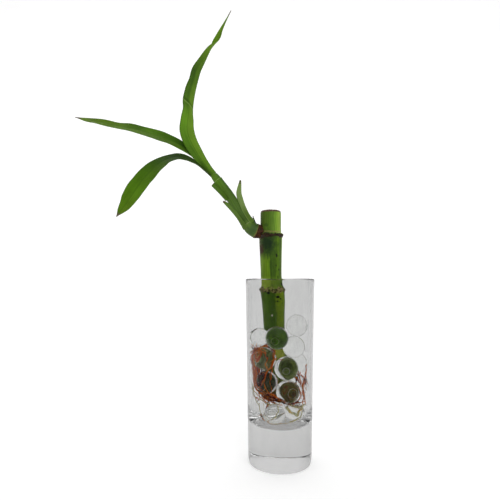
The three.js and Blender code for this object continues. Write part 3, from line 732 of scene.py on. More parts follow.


# ---- The cane's look -----------------------------------------------------------------

# Tones round the cane above, between and below its upper two nodes, as stops of the turn:
# 0 is its back, 0.25 faces -X and 0.5 faces the viewer.
# CANE_TOP and CANE_LOW are partly the skin's own tones and partly painted light and shade: lighter
# towards the viewer's right with a painted highlight just right of the front, and darker on the left as
# painted shade.
CANE_TOP = (
    (0.0, 84, 116, 30), (0.24, 68, 92, 26), (0.34, 80, 104, 30), (0.46, 76, 108, 24),
    (0.52, 86, 120, 30), (0.57, 112, 150, 46), (0.63, 142, 176, 64), (0.7, 126, 156, 58),
    (0.78, 92, 124, 34), (1.0, 84, 116, 30),
)
CANE_MIDDLE = (
    (0.0, 85, 118, 26), (0.22, 78, 105, 23), (0.3, 107, 135, 30), (0.38, 107, 140, 26),
    (0.465, 98, 133, 21), (0.49, 67, 100, 11), (0.55, 74, 107, 13), (0.6, 94, 129, 26),
    (0.66, 69, 98, 13), (0.7, 122, 151, 46), (0.8, 89, 120, 26), (1.0, 85, 118, 26),
)
# Painted light on the right and painted shade on the left, as in CANE_TOP.
CANE_LOW = (
    (0.0, 92, 126, 18), (0.22, 76, 112, 12), (0.3, 106, 142, 22), (0.4, 94, 138, 12),
    (0.49, 72, 110, 6), (0.52, 82, 118, 8), (0.545, 126, 156, 18), (0.6, 142, 174, 22),
    (0.65, 152, 184, 34), (0.7, 116, 146, 30), (0.8, 92, 122, 20), (1.0, 92, 126, 18),
)
# Light and dark grit on the low skin, which the beads in front of it enlarge: stops of the
# height between the grit's ends.
GRIT_LOW, GRIT_HIGH = 34.0, 76.0
GRIT_LIGHT = (
    (0.0, 172, 150, 84), (0.17, 160, 166, 92), (0.3, 190, 208, 116),
    (0.55, 176, 196, 116), (0.78, 100, 144, 4), (1.0, 86, 130, 8),
)
GRIT_DARK = (
    (0.0, 120, 84, 24), (0.17, 96, 100, 24), (0.3, 98, 120, 46),
    (0.55, 92, 118, 44), (0.78, 48, 84, 0), (1.0, 54, 96, 2),
)
# Stains: centre as turn and height, half sizes, softness, share and tone.
CANE_STAINS = (
    ((0.42, 120.2), (0.17, 6.6), 0.55, 0.75, (30, 54, 16)),
    ((0.44, 120.8), (0.085, 4.8), 0.5, 0.85, (16, 38, 16)),
    ((0.4, 116.0), (0.012, 3.0), 0.6, 0.6, (40, 66, 14)),
    ((0.45, 115.2), (0.012, 3.6), 0.6, 0.6, (40, 66, 14)),
    ((0.48, 115.0), (0.012, 3.0), 0.6, 0.6, (40, 66, 14)),
    ((0.3, 117.4), (0.075, 3.0), 0.5, 0.85, (58, 26, 16)),
    ((0.55, 108.5), (0.05, 5.5), 0.6, 0.45, (50, 76, 12)),
    ((0.49, 107.0), (0.012, 7.0), 0.35, 0.7, (46, 72, 12)),
    ((0.28, 127.0), (0.075, 4.2), 0.35, 1.0, (44, 14, 6)),
    ((0.34, 124.4), (0.06, 1.6), 0.35, 0.9, (38, 16, 8)),
    ((0.42, 130.6), (0.035, 0.9), 0.35, 0.7, (50, 78, 18)),
)
# Black specks: turn, height, half size round the cane and half height.
CANE_SPECKS = (
    (0.577, 113.9, 0.012, 0.9), (0.571, 114.6, 0.008, 0.5), (0.56, 91.2, 0.03, 0.7),
    (0.6, 90.2, 0.014, 0.5), (0.55, 88.8, 0.01, 0.5), (0.57, 108.5, 0.007, 0.5),
    (0.62, 106.2, 0.007, 0.6), (0.6, 102.0, 0.008, 0.9), (0.44, 93.4, 0.02, 0.7),
    (0.66, 97.6, 0.02, 0.8), (0.12, 108.0, 0.01, 0.7), (0.9, 121.0, 0.008, 0.6),
    (0.85, 103.0, 0.01, 0.5),
)
NODE_TONES = (
    (0.0, 24, 12, 6), (0.35, 70, 44, 22), (0.5, 70, 98, 20), (0.68, 176, 150, 104),
    (1.0, 120, 134, 56),
)
# Heights of the nodes' ragged rings.
TOP_NODE, RIM_NODE, ROOT_NODE = 125.2, 95.1, 64.0


def cane_look():
    """The cane's skin. u is the turn round it and v the height."""
    look = Look("cane", Specular_IOR_Level=SHEEN)
    u, v = look.uv()
    ragged = look.noise(0.4, 4.0, 0.65).linear(0.2, 0.8, -0.5, 0.5)
    coarse = look.noise(0.18, 3.0).linear(0.25, 0.75, -0.5, 0.5)
    fine = look.noise(1.4, 4.0, 0.65)
    fibres = look.noise(1.0, 4.0, 0.6, at=look.join(u * 70.0, v * 0.08))
    around = u + coarse * 0.03
    # The top and low ramps hold painted light and shade round the cane.
    top, middle, low = [look.ramp(around, colours(s)) for s in (CANE_TOP, CANE_MIDDLE, CANE_LOW)]
    look.colour = look.mix(v.spread(124.8, 126.4), middle, top)
    left_side = around.spread(0.6, 0.3) * around.spread(0.02, 0.14)
    by_rim = look.mix(left_side, srgb(104, 134, 30), srgb(196, 220, 84))
    look.tint(v.spread(103.0, 99.5) * 0.6, by_rim)
    look.tint(v.spread(96.0, 93.5), low)
    # Painted light down the right side of the foot.
    look.paint(v.spread(66.0, 58.0) * around.band(0.74, 0.14, 0.1), (176, 200, 40))
    look.paint(v.spread(60.0, 50.0) * 0.5, (84, 124, 40))
    patches = look.noise(1.1, 4.0, 0.7).linear(0.42, 0.6) * v.spread(100.0, 90.0)
    look.paint(patches * 0.45, (50, 84, 8))
    paint_low_skin(look, u, v, ragged)
    level = fibres.linear(0.32, 0.68, 0.66, 1.2)
    look.shade(level, level * 0.92)
    mottle = look.noise(0.55, 5.0, 0.7).linear(0.52, 0.68)
    look.paint(mottle * around.band(0.72, 0.2, 0.06) * v.spread(126.0, 118.0) * 0.55, (48, 74, 10))
    for centre, size, soft, share, tone in CANE_STAINS:
        look.paint(look.spot(centre, size, soft, ragged) * share, tone)
    paint_nodes(look, v, around, ragged, coarse, fine)
    for *centre, half_turn, half_height in CANE_SPECKS:
        look.paint(look.spot(centre, (half_turn, half_height)), (18, 20, 12))
    look.paint(look.spot((0.47, 81.0), (0.012, 0.6), 0.4), (200, 196, 170))
    cut_tone = look.mix(fine, srgb(58, 34, 28), srgb(112, 84, 66))
    look.tint((v + ragged * 0.7).spread(137.9, 138.3), cut_tone)
    roughness = fine.linear(0.3, 0.7, 0.4, 0.6)
    return look.finish(fibres * 0.6 + fine * 0.35, 0.1, 0.6, Roughness=roughness)


def paint_low_skin(look, u, v, ragged):
    """The finely mottled skin that the beads enlarge, a few patches of other tones, and painted light and
    shade.
    """
    grit = look.noise(1.9, 5.0, 0.7).linear(0.4, 0.62)
    height = v.linear(GRIT_LOW, GRIT_HIGH)
    dark, light = [look.ramp(height, colours(stops)) for stops in (GRIT_DARK, GRIT_LIGHT)]
    look.tint(v.spread(GRIT_HIGH, 72.5) * 0.75, look.mix(grit, dark, light))
    light_side = u.spread(0.508, 0.526) * v.band(69.5, 3.0, 2.0) * u.spread(0.6, 0.56)
    look.paint(light_side * 0.35, (120, 168, 60))
    rust = look.noise(2.6, 3.0, 0.6, 1.0).spread(0.5, 0.6) * v.spread(46.0, 42.0)
    look.paint(rust * 0.8, (150, 74, 24))
    # A painted pool of light on the front of the foot.
    sunny = look.mix(grit, srgb(206, 220, 60), srgb(240, 246, 120))
    look.tint(look.spot((0.575, 60.5), (0.075, 5.0), 0.35, ragged * 0.5) * 0.95, sunny)
    look.paint(look.spot((0.335, 53.5), (0.04, 2.6), 0.5, ragged * 0.5) * 0.6, (214, 208, 160))
    # Painted shade in a band on the left of the foot.
    look.paint(u.band(0.28, 0.12, 0.04) * v.spread(48.5, 46.0) * 0.7, (30, 44, 6))


def paint_nodes(look, v, around, ragged, coarse, fine):
    """Dry tissue on the three nodes, with a pale line above the top one."""
    bark = look.mix(fine.spread(0.35, 0.65), srgb(24, 14, 4), srgb(58, 38, 18))
    look.tint((v + ragged * 2.6).band(TOP_NODE, 0.75, 0.5), bark)
    broken = around.spread(0.34, 0.5, 0.3, 0.8) * fine.spread(0.4, 0.6, 0.3, 1.0)
    look.paint((v + coarse * 0.8).band(TOP_NODE + 1.9, 0.25, 0.5) * broken, (150, 138, 84))
    crust = look.ramp(look.noise(0.75, 4.0, 0.7).spread(0.32, 0.68), colours(NODE_TONES))
    look.tint((v + ragged * 5.0).band(RIM_NODE, 1.0, 0.8), crust)
    roots = look.mix(fine, srgb(70, 34, 18), srgb(140, 84, 44))
    look.tint((v + ragged * 3.0).band(ROOT_NODE, 1.2, 1.0), roots)


# ---- The looks of the shoot, the sheaths, the roots and the floor --------------------

SHOOT_TONES = (
    (0.0, 76, 92, 40), (0.12, 80, 102, 44), (0.2, 64, 88, 30), (0.32, 88, 116, 44),
    (0.4, 62, 88, 26), (0.6, 78, 108, 38), (0.75, 72, 102, 24), (0.85, 76, 112, 22),
    (1.0, 86, 122, 30),
)
# Share along the shoot and tone of the thin lines on its two scars.
SHOOT_LINES = ((0.33, (122, 134, 84)), (0.905, (132, 162, 84)))
# Name of each sheath's look, its deep, bright and dry tone, and where its dry tip starts.
SHEATH_TONES = {
    "scale_at_base": ("scale", (58, 74, 26), (36, 44, 14), (30, 22, 10), 0.75),
    "sheath_pointed": ("sheath_pale", (88, 114, 44), (120, 144, 80), (86, 88, 56), 0.91),
    "sheath_lower": ("sheath_green", (84, 108, 44), (92, 120, 52), (84, 58, 34), 0.9),
    "sheath_cut_stub": ("sheath_stub", (72, 102, 26), (80, 112, 38), (88, 62, 34), 0.93),
}
# Deep, bright and pale tone of each sort of root, the pale tone's share and the softness.
ROOT_TONES = {
    "orange": ((240, 92, 0), (255, 138, 0), (255, 200, 96), 0.35, 0.35),
    # The dark tone is partly dark roots' own colour and partly painted shade between crowded roots.
    "dark": ((44, 8, 2), (124, 36, 6), (190, 92, 30), 0.3, 0.35),
    "pale": ((236, 214, 140), (255, 246, 200), (255, 250, 228), 0.6, 0.8),
    "pink": ((246, 190, 140), (255, 220, 186), (255, 238, 216), 0.5, 0.8),
    # The black tone paints a dark reflection in a bead, on one strand.
    "black": ((22, 24, 20), (44, 48, 40), (90, 84, 66), 0.3, 0.35),
}
TONES = list(ROOT_TONES)
# How much the floor and backdrop glow at each distance from the vase, front to back.
FLOOR_GLOW = ((-160, 0.27), (-60, 0.52), (100, 0.54), (400, 0.57), (900, 0.62))


def shoot_look():
    """The shoot's skin. u runs round it and v is the share along it."""
    look = Look("shoot", Roughness=0.5, Specular_IOR_Level=SHEEN)
    u, v = look.uv()
    ragged = look.noise(0.5, 4.0, 0.6).linear(0.2, 0.8, -0.5, 0.5)
    fibres = look.noise(1.0, 3.0, 0.6, at=look.join(u * 40.0, v * 4.0))
    look.colour = look.ramp(v, colours(SHOOT_TONES))
    level = fibres.linear(0.3, 0.7, 0.74, 1.22)
    look.shade(level, level * 0.95)
    dark_side = look.math("COSINE", u * (2 * math.pi)).spread(0.4, 1.0)
    look.paint(dark_side * 0.55, (36, 66, 14))
    look.paint(look.spot((0.75, 0.2), (0.16, 0.07), 0.5, ragged) * 0.4, (62, 86, 50))
    look.paint((ragged * 0.01 + v).band(0.112, 0.005, 0.012) * 0.8, (116, 106, 54))
    foot_tone = look.mix(ragged.spread(-0.3, 0.3), srgb(34, 12, 4), srgb(78, 44, 20))
    look.tint((ragged * 0.012 + v).spread(0.108, 0.096), foot_tone)
    for at, tone in SHOOT_LINES:
        look.paint((ragged * 0.014 + v).band(at, 0.002, 0.006) * 0.8, tone)
    return look.finish(fibres, 0.08, 0.6)


def sheath_look(name, deep, bright, dry, tip_from):
    """A sheath's skin. v is the share along it."""
    look = Look(name, Roughness=0.6, Specular_IOR_Level=LEAF_SHEEN)
    u, v = look.uv()
    fibres = look.noise(1.0, 3.0, 0.6, at=look.join(u * 18.0, v))
    look.colour = look.mix(v.spread(0.2, 0.6), srgb(*deep), srgb(*bright))
    look.shade(fibres.linear(0.3, 0.7, 0.76, 1.2))
    look.paint(abs(u - 0.5).spread(0.42, 0.49, 0.0, 0.5), [c * 1.15 for c in bright])
    ragged = (look.noise(0.9, 3.0) - 0.5) * 0.1
    look.paint((v + ragged).spread(tip_from, tip_from + 0.06), dry)
    return look.finish(fibres, 0.06, 0.5)


def root_look(name, deep, bright, pale, pale_share, softness):
    look = Look(
        name,
        Roughness=0.6,
        Specular_IOR_Level=SHEEN,
        Subsurface_Weight=softness,
        Subsurface_Radius=(1.0, 0.9, 0.75),
        Subsurface_Scale=0.5 * MM,
    )
    grain = look.noise(0.45, 4.0, 0.6).spread(0.35, 0.62)
    fine = look.noise(2.6, 3.0, 0.6)
    look.colour = look.mix(grain, srgb(*deep), srgb(*bright))
    look.paint(fine.spread(0.5, 0.8, 0.0, pale_share), pale)
    return look.finish(fine, 0.1, 0.6)


def floor_look():
    look = Look("floor", Roughness=0.8, Specular_IOR_Level=0.0, Emission_Strength=1.0)
    grain = look.noise(0.01, 2.0)
    front, back = FLOOR_GLOW[0][0], FLOOR_GLOW[-1][0]
    stops = [((y - front) / (back - front), (glow,) * 3) for y, glow in FLOOR_GLOW]
    look.colour = look.ramp(look.split(look.place)[1].linear(front, back), stops)
    glow = look.mix(1.0, look.colour, look.mix(grain, (0.98,) * 3, (1.0,) * 3), "MULTIPLY")
    look.set(Base_Color=look.mix(grain, (0.63,) * 3, (0.65,) * 3), Emission_Color=glow)
    return look.material


glass_outside = glass_look("glass_outside", GLASS_TINT, 0.75, WATER_MARKS)
glass_bore = glass_look("glass_bore", BORE_TINT, 0.0)
gel = gel_look()
root_skins = [root_look("root_" + sort, *tones) for sort, tones in ROOT_TONES.items()]


# ---- The vase ------------------------------------------------------------------------


def arc(centre_r, centre_z, radial, vertical, start, steps):
    """A quarter of an ellipse, as radii and heights, from a start in degrees."""
    angles = [math.radians(start + 90 * share) for share in shares(steps)]
    return [(centre_r + radial * math.cos(a), centre_z + vertical * math.sin(a)) for a in angles]


def straight(start, end, steps):
    """The points between two ends."""
    return [tuple(Vector(start).lerp(Vector(end), share)) for share in shares(steps)[1:-1]]


def build_vase():
    lip_width = (VASE.rim_radius - VASE.bore_rim_radius) / 2
    lip = (VASE.rim_radius - lip_width, VASE.height - VASE.lip_radius, lip_width, VASE.lip_radius)
    outer_lip, inner_lip = arc(*lip, 0, 8), arc(*lip, 90, 8)
    heel_middle = VASE.base_radius - VASE.heel_inset
    heel = arc(heel_middle, VASE.heel_rise, VASE.heel_inset, VASE.heel_rise, -90, 14)
    foot_width = VASE.bore_foot_radius - VASE.floor_radius
    foot_rise = VASE.bore_foot_height - VASE.floor_height
    foot = arc(VASE.floor_radius, VASE.bore_foot_height, foot_width, foot_rise, -90, 20)[::-1]
    underside = [(radius, 0.0) for radius in (4.0, 9.0, 14.0)]
    outside = underside + heel + straight(heel[-1], outer_lip[0], 24) + outer_lip
    floor = [(radius, VASE.floor_height) for radius in (6.0, 2.5)]
    profile = outside + inner_lip[1:] + straight(inner_lip[-1], foot[0], 18) + foot + floor
    sides, lip_row = 160, len(outside) - 1
    rings = [[(r * math.cos(a), r * math.sin(a), z) for a in circle(sides)] for r, z in profile]
    skin = Skin()
    skin.add_loft(rings, shares(sides), shares(len(rings)), lambda row, column: int(row >= lip_row))
    vase = skin.piece("vase_glass", [glass_outside, glass_bore], uvs=False)
    return place_piece(vase, "glass", "glass_vase")


# ---- The beads -----------------------------------------------------------------------

# Directions of the flats where the front beads press on the glass.
BEAD_FLATS = {
    "bead_front_upper": [(-0.13, -0.97, -0.2)],
    "bead_front_middle": [(0.09, -0.96, -0.25)],
    "bead_front_lower": [(0.45, -0.87, -0.2), (0.1, -0.95, -0.45)],
}
# How far a few soft beads have settled from where the CAD's rigid balls lie.
BEAD_SHIFTS = {
    "bead_front_upper": (-0.6, 0.2, 0.1),
    "bead_left_upper": (-0.3, 0.6, 0.0),
    "bead_front_middle": (-0.4, 0.0, 0.0),
    "bead_front_lower": (-0.6, 0.0, 0.3),
}
# How much a soft bead has swollen beyond the CAD's ball.
BEAD_GROWTH = {"bead_front_upper": 1.055, "bead_front_middle": 1.01}
# How far out a flat lies, as a share of the radius, between two beads and on the glass, and
# the depth and width of the dent round a flat on the glass.
BEAD_CONTACT, GLASS_CONTACT = 0.985, 0.955
DENT_DEPTH, DENT_WIDTH = 0.016, 0.05
BEAD_UNEVENNESS = 0.012
NEAR = 0.7  # beads that lie closer than this press on each other


def bead_ball(name):
    """A bead's centre and radius."""
    low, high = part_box(name)
    centre = (low + high) / 2 / MM + Vector(BEAD_SHIFTS.get(name, (0, 0, 0)))
    return centre, (high.z - low.z) / 2 / MM * BEAD_GROWTH.get(name, 1.0)


balls = {name: bead_ball(name) for name in BEADS}


def build_bead(name):
    centre, radius = balls[name]
    seed = BEADS.index(name) + 1
    flats = [
        ((other - centre).normalized(), BEAD_CONTACT)
        for other, size in balls.values()
        if 0 < (other - centre).length < radius + size + NEAR
    ]
    flats += [(Vector(way).normalized(), GLASS_CONTACT) for way in BEAD_FLATS.get(name, ())]
    shape = bmesh.new()
    bmesh.ops.create_icosphere(shape, subdivisions=5, radius=1)
    for vertex in shape.verts:
        out = Vector(vertex.co)
        reach = 1 + BEAD_UNEVENNESS * wobble(*out, scale=1.1, seed=seed)
        for way, level in flats:
            over = out.dot(way) * reach - level
            if over > 0:
                reach -= over / max(out.dot(way), 0.5)
            if level == GLASS_CONTACT:
                off = math.acos(min(out.dot(way), 1)) - math.acos(level)
                reach -= DENT_DEPTH * bell(off, DENT_WIDTH)
        vertex.co = (centre + out * radius * reach) * MM
    for face in shape.faces:
        face.smooth = True
    mesh = bpy.data.meshes.new(name + "_gel")
    shape.to_mesh(mesh)
    shape.free()
    mesh.materials.append(gel)
    return place_piece(new_object(name + "_gel", mesh), "gel", name)


# ---- The cane ------------------------------------------------------------------------

# Height of a node's ragged ring, its rise, its spread and the height of the groove above it.
NODE_RINGS = (
    (TOP_NODE, 0.45, 0.75, 127.0),
    (RIM_NODE, 0.35, 1.2, 97.4),
    (ROOT_NODE, 0.3, 1.3, 66.4),
)
GROOVE_DEPTH, GROOVE_SPREAD = 0.2, 0.5
# Unevenness of the skin, and its fine ribs: how many and how high.
CANE_LUMPS, CANE_RIBS, RIB_HEIGHT = 0.1, 23, 0.03
# Where round the cane its foot flares, and how widely.
FLARE_TURN, FLARE_SPREAD = 0.78, 0.085
# A dormant bud above the middle node: height, spread, turn, spread and rise.
BUD = (96.9, 1.1, 0.66, 0.05, 0.75)
# Start, step and count of the rings of points up the cane, which lie closest on the nodes.
CANE_RINGS = (
    (38, 1.5, 16),
    (61.2, 0.3, 16),
    (66.5, 1.5, 17),
    (92.2, 0.25, 24),
    (98.7, 1.4, 17),
    (122.6, 0.2, 30),
    (129.2, 1.2, 7),
)
# More rings, by their height above the foot and their depth below the top.
FOOT_RISES, TOP_DROPS = (0, 0.4, 0.9, 1.6), (1.5, 1.2, 0.9, 0.5, 0.25)
# Share of the radius and height above the rim of the rings on the cut top.
CUT_RINGS = ((0.94, 0.2), (0.86, 0.32), (0.72, 0.36), (0.52, 0.3), (0.3, 0.22), (0.12, 0.2))
CUT_ROUGHNESS = 0.12


def cane_centre(height):
    return Vector((at_height(CANE_AXIS, height, 1), at_height(CANE_AXIS, height, 2), height))


def cane_surface(height, turn):
    """A point of the cane's skin. turn 0 faces away from the viewer, 0.25 faces -X, 0.5 the viewer."""
    angle = math.pi / 2 + 2 * math.pi * turn
    out = Vector((math.cos(angle), math.sin(angle), 0))
    radius = at_height(CANE_OUTLINE, height)
    radius += CANE_LUMPS * wobble(out.x * 2.2, out.y * 2.2, height * 0.06, seed=3)
    radius += RIB_HEIGHT * math.sin(2 * math.pi * turn * CANE_RIBS + height * 0.05)
    for node, rise, spread, groove in NODE_RINGS:
        ragged = 0.9 * wobble(out.x * 3.4, out.y * 3.4, height * 0.3, seed=int(node))
        radius += bell(height - node - 0.5 * ragged, spread) * (rise + 0.35 * ragged)
        radius -= GROOVE_DEPTH * bell(height - groove, GROOVE_SPREAD)
    bud_height, height_spread, bud_turn, turn_spread, bud_rise = BUD
    radius += bud_rise * bell(height - bud_height, height_spread) * bell(turn - bud_turn, turn_spread)
    radius += at_height(CANE_FLARE, height) * bell(turn - FLARE_TURN, FLARE_SPREAD)
    return cane_centre(height) + out * radius


def build_cane():
    sides = 96
    foot, top = CANE_OUTLINE[0][0], CANE_OUTLINE[-1][0]
    heights = {foot + rise for rise in FOOT_RISES} | {top - drop for drop in TOP_DROPS}
    heights |= {start + step * i for start, step, count in CANE_RINGS for i in range(count)}
    heights = sorted(heights)
    turns = shares(sides)
    skin_rings = [[cane_surface(height, turn) for turn in turns[:-1]] for height in heights]
    cut_rings = []
    rim = heights[-1]
    middle = cane_centre(rim)
    for share, lift in CUT_RINGS:
        ring = []
        for point in skin_rings[-1]:
            flat = middle + (point - middle) * share
            rough = CUT_ROUGHNESS * wobble(flat.x, flat.y, seed=5)
            ring.append(Vector((flat.x, flat.y, rim + lift + rough)))
        cut_rings.append(ring)
    skin = Skin()
    skin.add_loft(skin_rings + cut_rings, turns, heights + [rim + 0.1] * len(cut_rings))
    return place_piece(skin.piece("cane_skin", [cane_look()]), "cane", "cane")


# ---- The side shoot --------------------------------------------------------------------

# Share along the shoot, height and spread of the collars and swellings on it.
SHOOT_RINGS = ((0.1, 0.3, 0.014), (0.33, 0.3, 0.014), (0.62, 0.1, 0.02), (0.905, 0.3, 0.01))
# A collar rises over a few of its spreads and ends in a short step, as a sheath's edge does.
COLLAR_RISE, COLLAR_STEP = 3, 6**-0.5
# Inside the cane, the stem goes on by this step for each ring and narrows by this share of it.
LEAD_STEP, LEAD_TAPER = 0.35, 0.012
SHOOT_LUMPS, SHOOT_RIBS, SHOOT_RIB_HEIGHT = 0.03, 15, 0.008
# Reach beyond the spine's end and share of the radius of the rings that close the tip.
SHOOT_TIP = ((0.9, 0.8), (1.7, 0.55), (2.3, 0.25))


def shoot_frame(share):
    forwards = spine_tangent(SHOOT_SPINE, share)
    side = AWAY.cross(forwards).normalized()
    normal = forwards.cross(side)
    return spine_point(SHOOT_SPINE, share), forwards, side, normal, along(SHOOT_SPINE, share, 3)


def build_shoot():
    sides, steps, lead = 48, 130, 6
    rings, rows_v = [], []
    for i in range(-lead, steps + 1):
        share = max(i, 0) / steps
        centre, forwards, side, normal, radius = shoot_frame(share)
        if i < 0:
            centre = centre + forwards * (i * LEAD_STEP)
            radius *= 1 + LEAD_TAPER * i
        for at, height, spread in SHOOT_RINGS:
            gap = (share - at) / spread
            radius += height * bell(gap, COLLAR_RISE if gap < 0 else COLLAR_STEP)
        ring = []
        for angle in circle(sides):
            out = side * math.cos(angle) + normal * math.sin(angle)
            swell = 1 + SHOOT_LUMPS * wobble(out.x * 2, out.y * 2, share * 9, seed=4)
            swell += SHOOT_RIB_HEIGHT * math.sin(angle * SHOOT_RIBS)
            ring.append(centre + out * radius * swell)
        rings.append(ring)
        rows_v.append(share)
    end, forwards, side, normal, radius = shoot_frame(1.0)
    for reach, share in SHOOT_TIP:
        outs = [side * math.cos(angle) + normal * math.sin(angle) for angle in circle(sides)]
        rings.append([end + forwards * reach + out * radius * share for out in outs])
        rows_v.append(1.0)
    skin = Skin()
    skin.add_loft(rings, shares(sides), rows_v)
    return place_piece(skin.piece("shoot_stem", [shoot_look()]), "shoot", "side_shoot")


# ---- Leaves and sheaths ----------------------------------------------------------------

LEAF_THICKNESS, SHEATH_THICKNESS = 0.42, 0.4
LEAF_TIP, SHEATH_TIP = 0.12, 0.15  # least half widths
# Shares of a leaf's half width by which it varies and its edges ripple.
WIDTH_VARIES, RIPPLE = 0.035, 0.12
# How far a sheath lies off the shoot's skin.
SHEATH_GAP = 0.42


def blade_ring(centre, side, normal, half_width, half_arc, thickness, columns, fold=0.0, lifts=(0, 0)):
    """A thin blade's section: its inner face from -1 to 1, then its outer face back."""
    bend = half_width / max(half_arc, 0.02)
    run = [2 * share - 1 for share in shares(columns - 1)]
    ring = []
    for face, places in ((-1, run), (1, run[::-1])):
        for place in places:
            thin = thickness * (0.25 + 0.75 * (1 - place**2) ** 0.5) / 2
            reach = bend + face * thin
            x = reach * math.sin(place * half_arc)
            y = reach * math.cos(place * half_arc) - bend
            y -= fold * (abs(place) - 0.35 * place**2) * half_width * 0.5
            y += lifts[0 if place < 0 else 1] * place**2 * half_width
            ring.append(centre + side * x + normal * y)
    return ring


def blade_columns(columns):
    """u across a blade's two faces."""
    across = shares(columns - 1)
    return across + across[::-1] + [across[0]]


def build_leaf(name, rows):
    steps, columns = 180, 21
    seed = len(name)
    faces = LEAF_FACES[name]
    rings = []
    for share in shares(steps):
        forwards = spine_tangent(rows, share)
        side = turned(forwards.cross(AWAY).normalized(), forwards, along(rows, share, 4))
        normal = forwards.cross(side)
        half_width = max(along(rows, share, 3), LEAF_TIP)
        half_width *= 1 + WIDTH_VARIES * wobble(share * 17, seed=seed + 7)
        half_arc = math.radians(max(along(rows, share, 5), 2))
        thickness = LEAF_THICKNESS * min(1.0, 0.35 + half_width / 2.2)
        ripple = RIPPLE * min(1.0, share * 5)
        lifts = [ripple * wobble(share * 13, edge, seed=seed) for edge in (1.5, 9.5)]
        section = (half_width, half_arc, thickness, columns, faces["fold"], lifts)
        rings.append(blade_ring(spine_point(rows, share), side, normal, *section))
    skin = Skin()
    skin.add_loft(rings, blade_columns(columns), shares(steps), lambda row, column: column // columns)
    looks = [
        leaf_look(f"{name}_{side}", faces[side], rim, rib, faces["crease"], seed)
        for side, rim, rib in zip(("upper", "under"), faces["rims"], faces["ribs"])
    ]
    return place_piece(skin.piece(name + "_blade", looks), "leaf", name)


def build_sheath(name, rows):
    steps, columns = 44, 13
    centres, sections = [], []
    for share in shares(steps):
        at, around, lift, half_width, twist = [along(rows, share, c) for c in range(5)]
        centre, _, side, normal, radius = shoot_frame(at)
        angle = math.radians(around)
        out = side * math.cos(angle) + normal * math.sin(angle)
        reach = radius + SHEATH_GAP + max(lift, 0)
        centres.append(centre + out * reach)
        sections.append((out, max(half_width, SHEATH_TIP), reach, twist))
    rings = []
    for centre, forwards, section in zip(centres, headings(centres), sections):
        out, half_width, reach, twist = section
        side = turned(out.cross(forwards).normalized(), forwards, twist)
        normal = forwards.cross(side)
        thickness = SHEATH_THICKNESS * min(1.0, 0.4 + half_width / 2)
        half_arc = half_width / reach * (1 + 0.02 * abs(twist))
        rings.append(blade_ring(centre, side, normal, half_width, half_arc, thickness, columns))
    skin = Skin()
    skin.add_loft(rings, blade_columns(columns), shares(steps))
    look = sheath_look(*SHEATH_TONES[name])
    return place_piece(skin.piece(name + "_blade", [look]), "sheath", name)


# ---- Lines for roots -------------------------------------------------------------------

# A root keeps off a bead by a share of its radius and a gap, and off the cane and the glass by
# another gap.
BEAD_SWELL, BEAD_GAP, GAP = 1.008, 0.06, 0.1


def root_line(name):
    """A CAD root's ring centres and radii, in millimetres, from its cane end to its tip."""
    shape = bmesh.new()
    shape.from_mesh(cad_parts[name].data)
    bmesh.ops.remove_doubles(shape, verts=shape.verts, dist=0.001 * MM)
    shape.verts.ensure_lookup_table()
    shape.verts.index_update()
    owner = list(range(len(shape.verts)))

    def find(i):
        while owner[i] != i:
            i = owner[i]
        return i

    # The two shortest edges at a vertex lie in its own ring.
    for vertex in shape.verts:
        for edge in sorted(vertex.link_edges, key=lambda e: e.calc_length())[:2]:
            owner[find(vertex.index)] = find(edge.other_vert(vertex).index)
    rings = {}
    for vertex in shape.verts:
        rings.setdefault(find(vertex.index), []).append(vertex.co / MM)
    touching = {key: set() for key in rings}
    for edge in shape.edges:
        a, b = [find(v.index) for v in edge.verts]
        if a != b:
            touching[a].add(b)
            touching[b].add(a)
    shape.free()
    centres = {key: sum(ring, Vector()) / len(ring) for key, ring in rings.items()}
    radii = {key: sum((p - centres[key]).length for p in ring) / len(ring) for key, ring in rings.items()}
    ends = [key for key, others in touching.items() if len(others) == 1]
    order = [max(ends, key=lambda key: radii[key])]
    onwards = set(touching[order[0]])
    while onwards:
        order.append(onwards.pop())
        onwards = touching[order[-1]] - {order[-2]}
    return [centres[key] for key in order], [radii[key] for key in order]


def bore_radius(height):
    if height >= VASE.bore_foot_height:
        share = (height - VASE.bore_foot_height) / (VASE.height - VASE.bore_foot_height)
        return VASE.bore_foot_radius + share * (VASE.bore_rim_radius - VASE.bore_foot_radius)
    drop = (VASE.bore_foot_height - height) / (VASE.bore_foot_height - VASE.floor_height)
    widening = math.sqrt(1 - clamp(drop) ** 2)
    return VASE.floor_radius + (VASE.bore_foot_radius - VASE.floor_radius) * widening


def clear_of_all(point, reach):
    """Moves a point out of the beads and the cane and into the bore."""
    point = Vector(point)
    foot = CANE_OUTLINE[0][0]
    for _ in range(5):
        for centre, radius in balls.values():
            apart = point - centre
            short = radius * BEAD_SWELL + reach + BEAD_GAP - apart.length
            if short > 0:
                point += apart.normalized() * short
        if point.z > foot - reach:
            height = max(point.z, foot)
            axis = cane_centre(height)
            level = Vector((point.x - axis.x, point.y - axis.y, 0))
            short = at_height(CANE_OUTLINE, height) + reach + GAP - level.length
            if short > 0:
                point += level.normalized() * short
        point.z = max(point.z, VASE.floor_height + reach + GAP)
        most = bore_radius(point.z) - reach - GAP
        far = math.hypot(point.x, point.y)
        if far > most:
            point.x *= most / far
            point.y *= most / far
    return point


def resample(points, count):
    """Evenly spaced points on the line through points."""
    line = np.array([tuple(p) for p in points])
    steps = np.linalg.norm(np.diff(line, axis=0), axis=1)
    run = np.concatenate([[0], np.cumsum(steps)])
    at = np.linspace(0, run[-1], count)
    return [Vector([float(np.interp(a, run, line[:, c])) for c in range(3)]) for a in at]


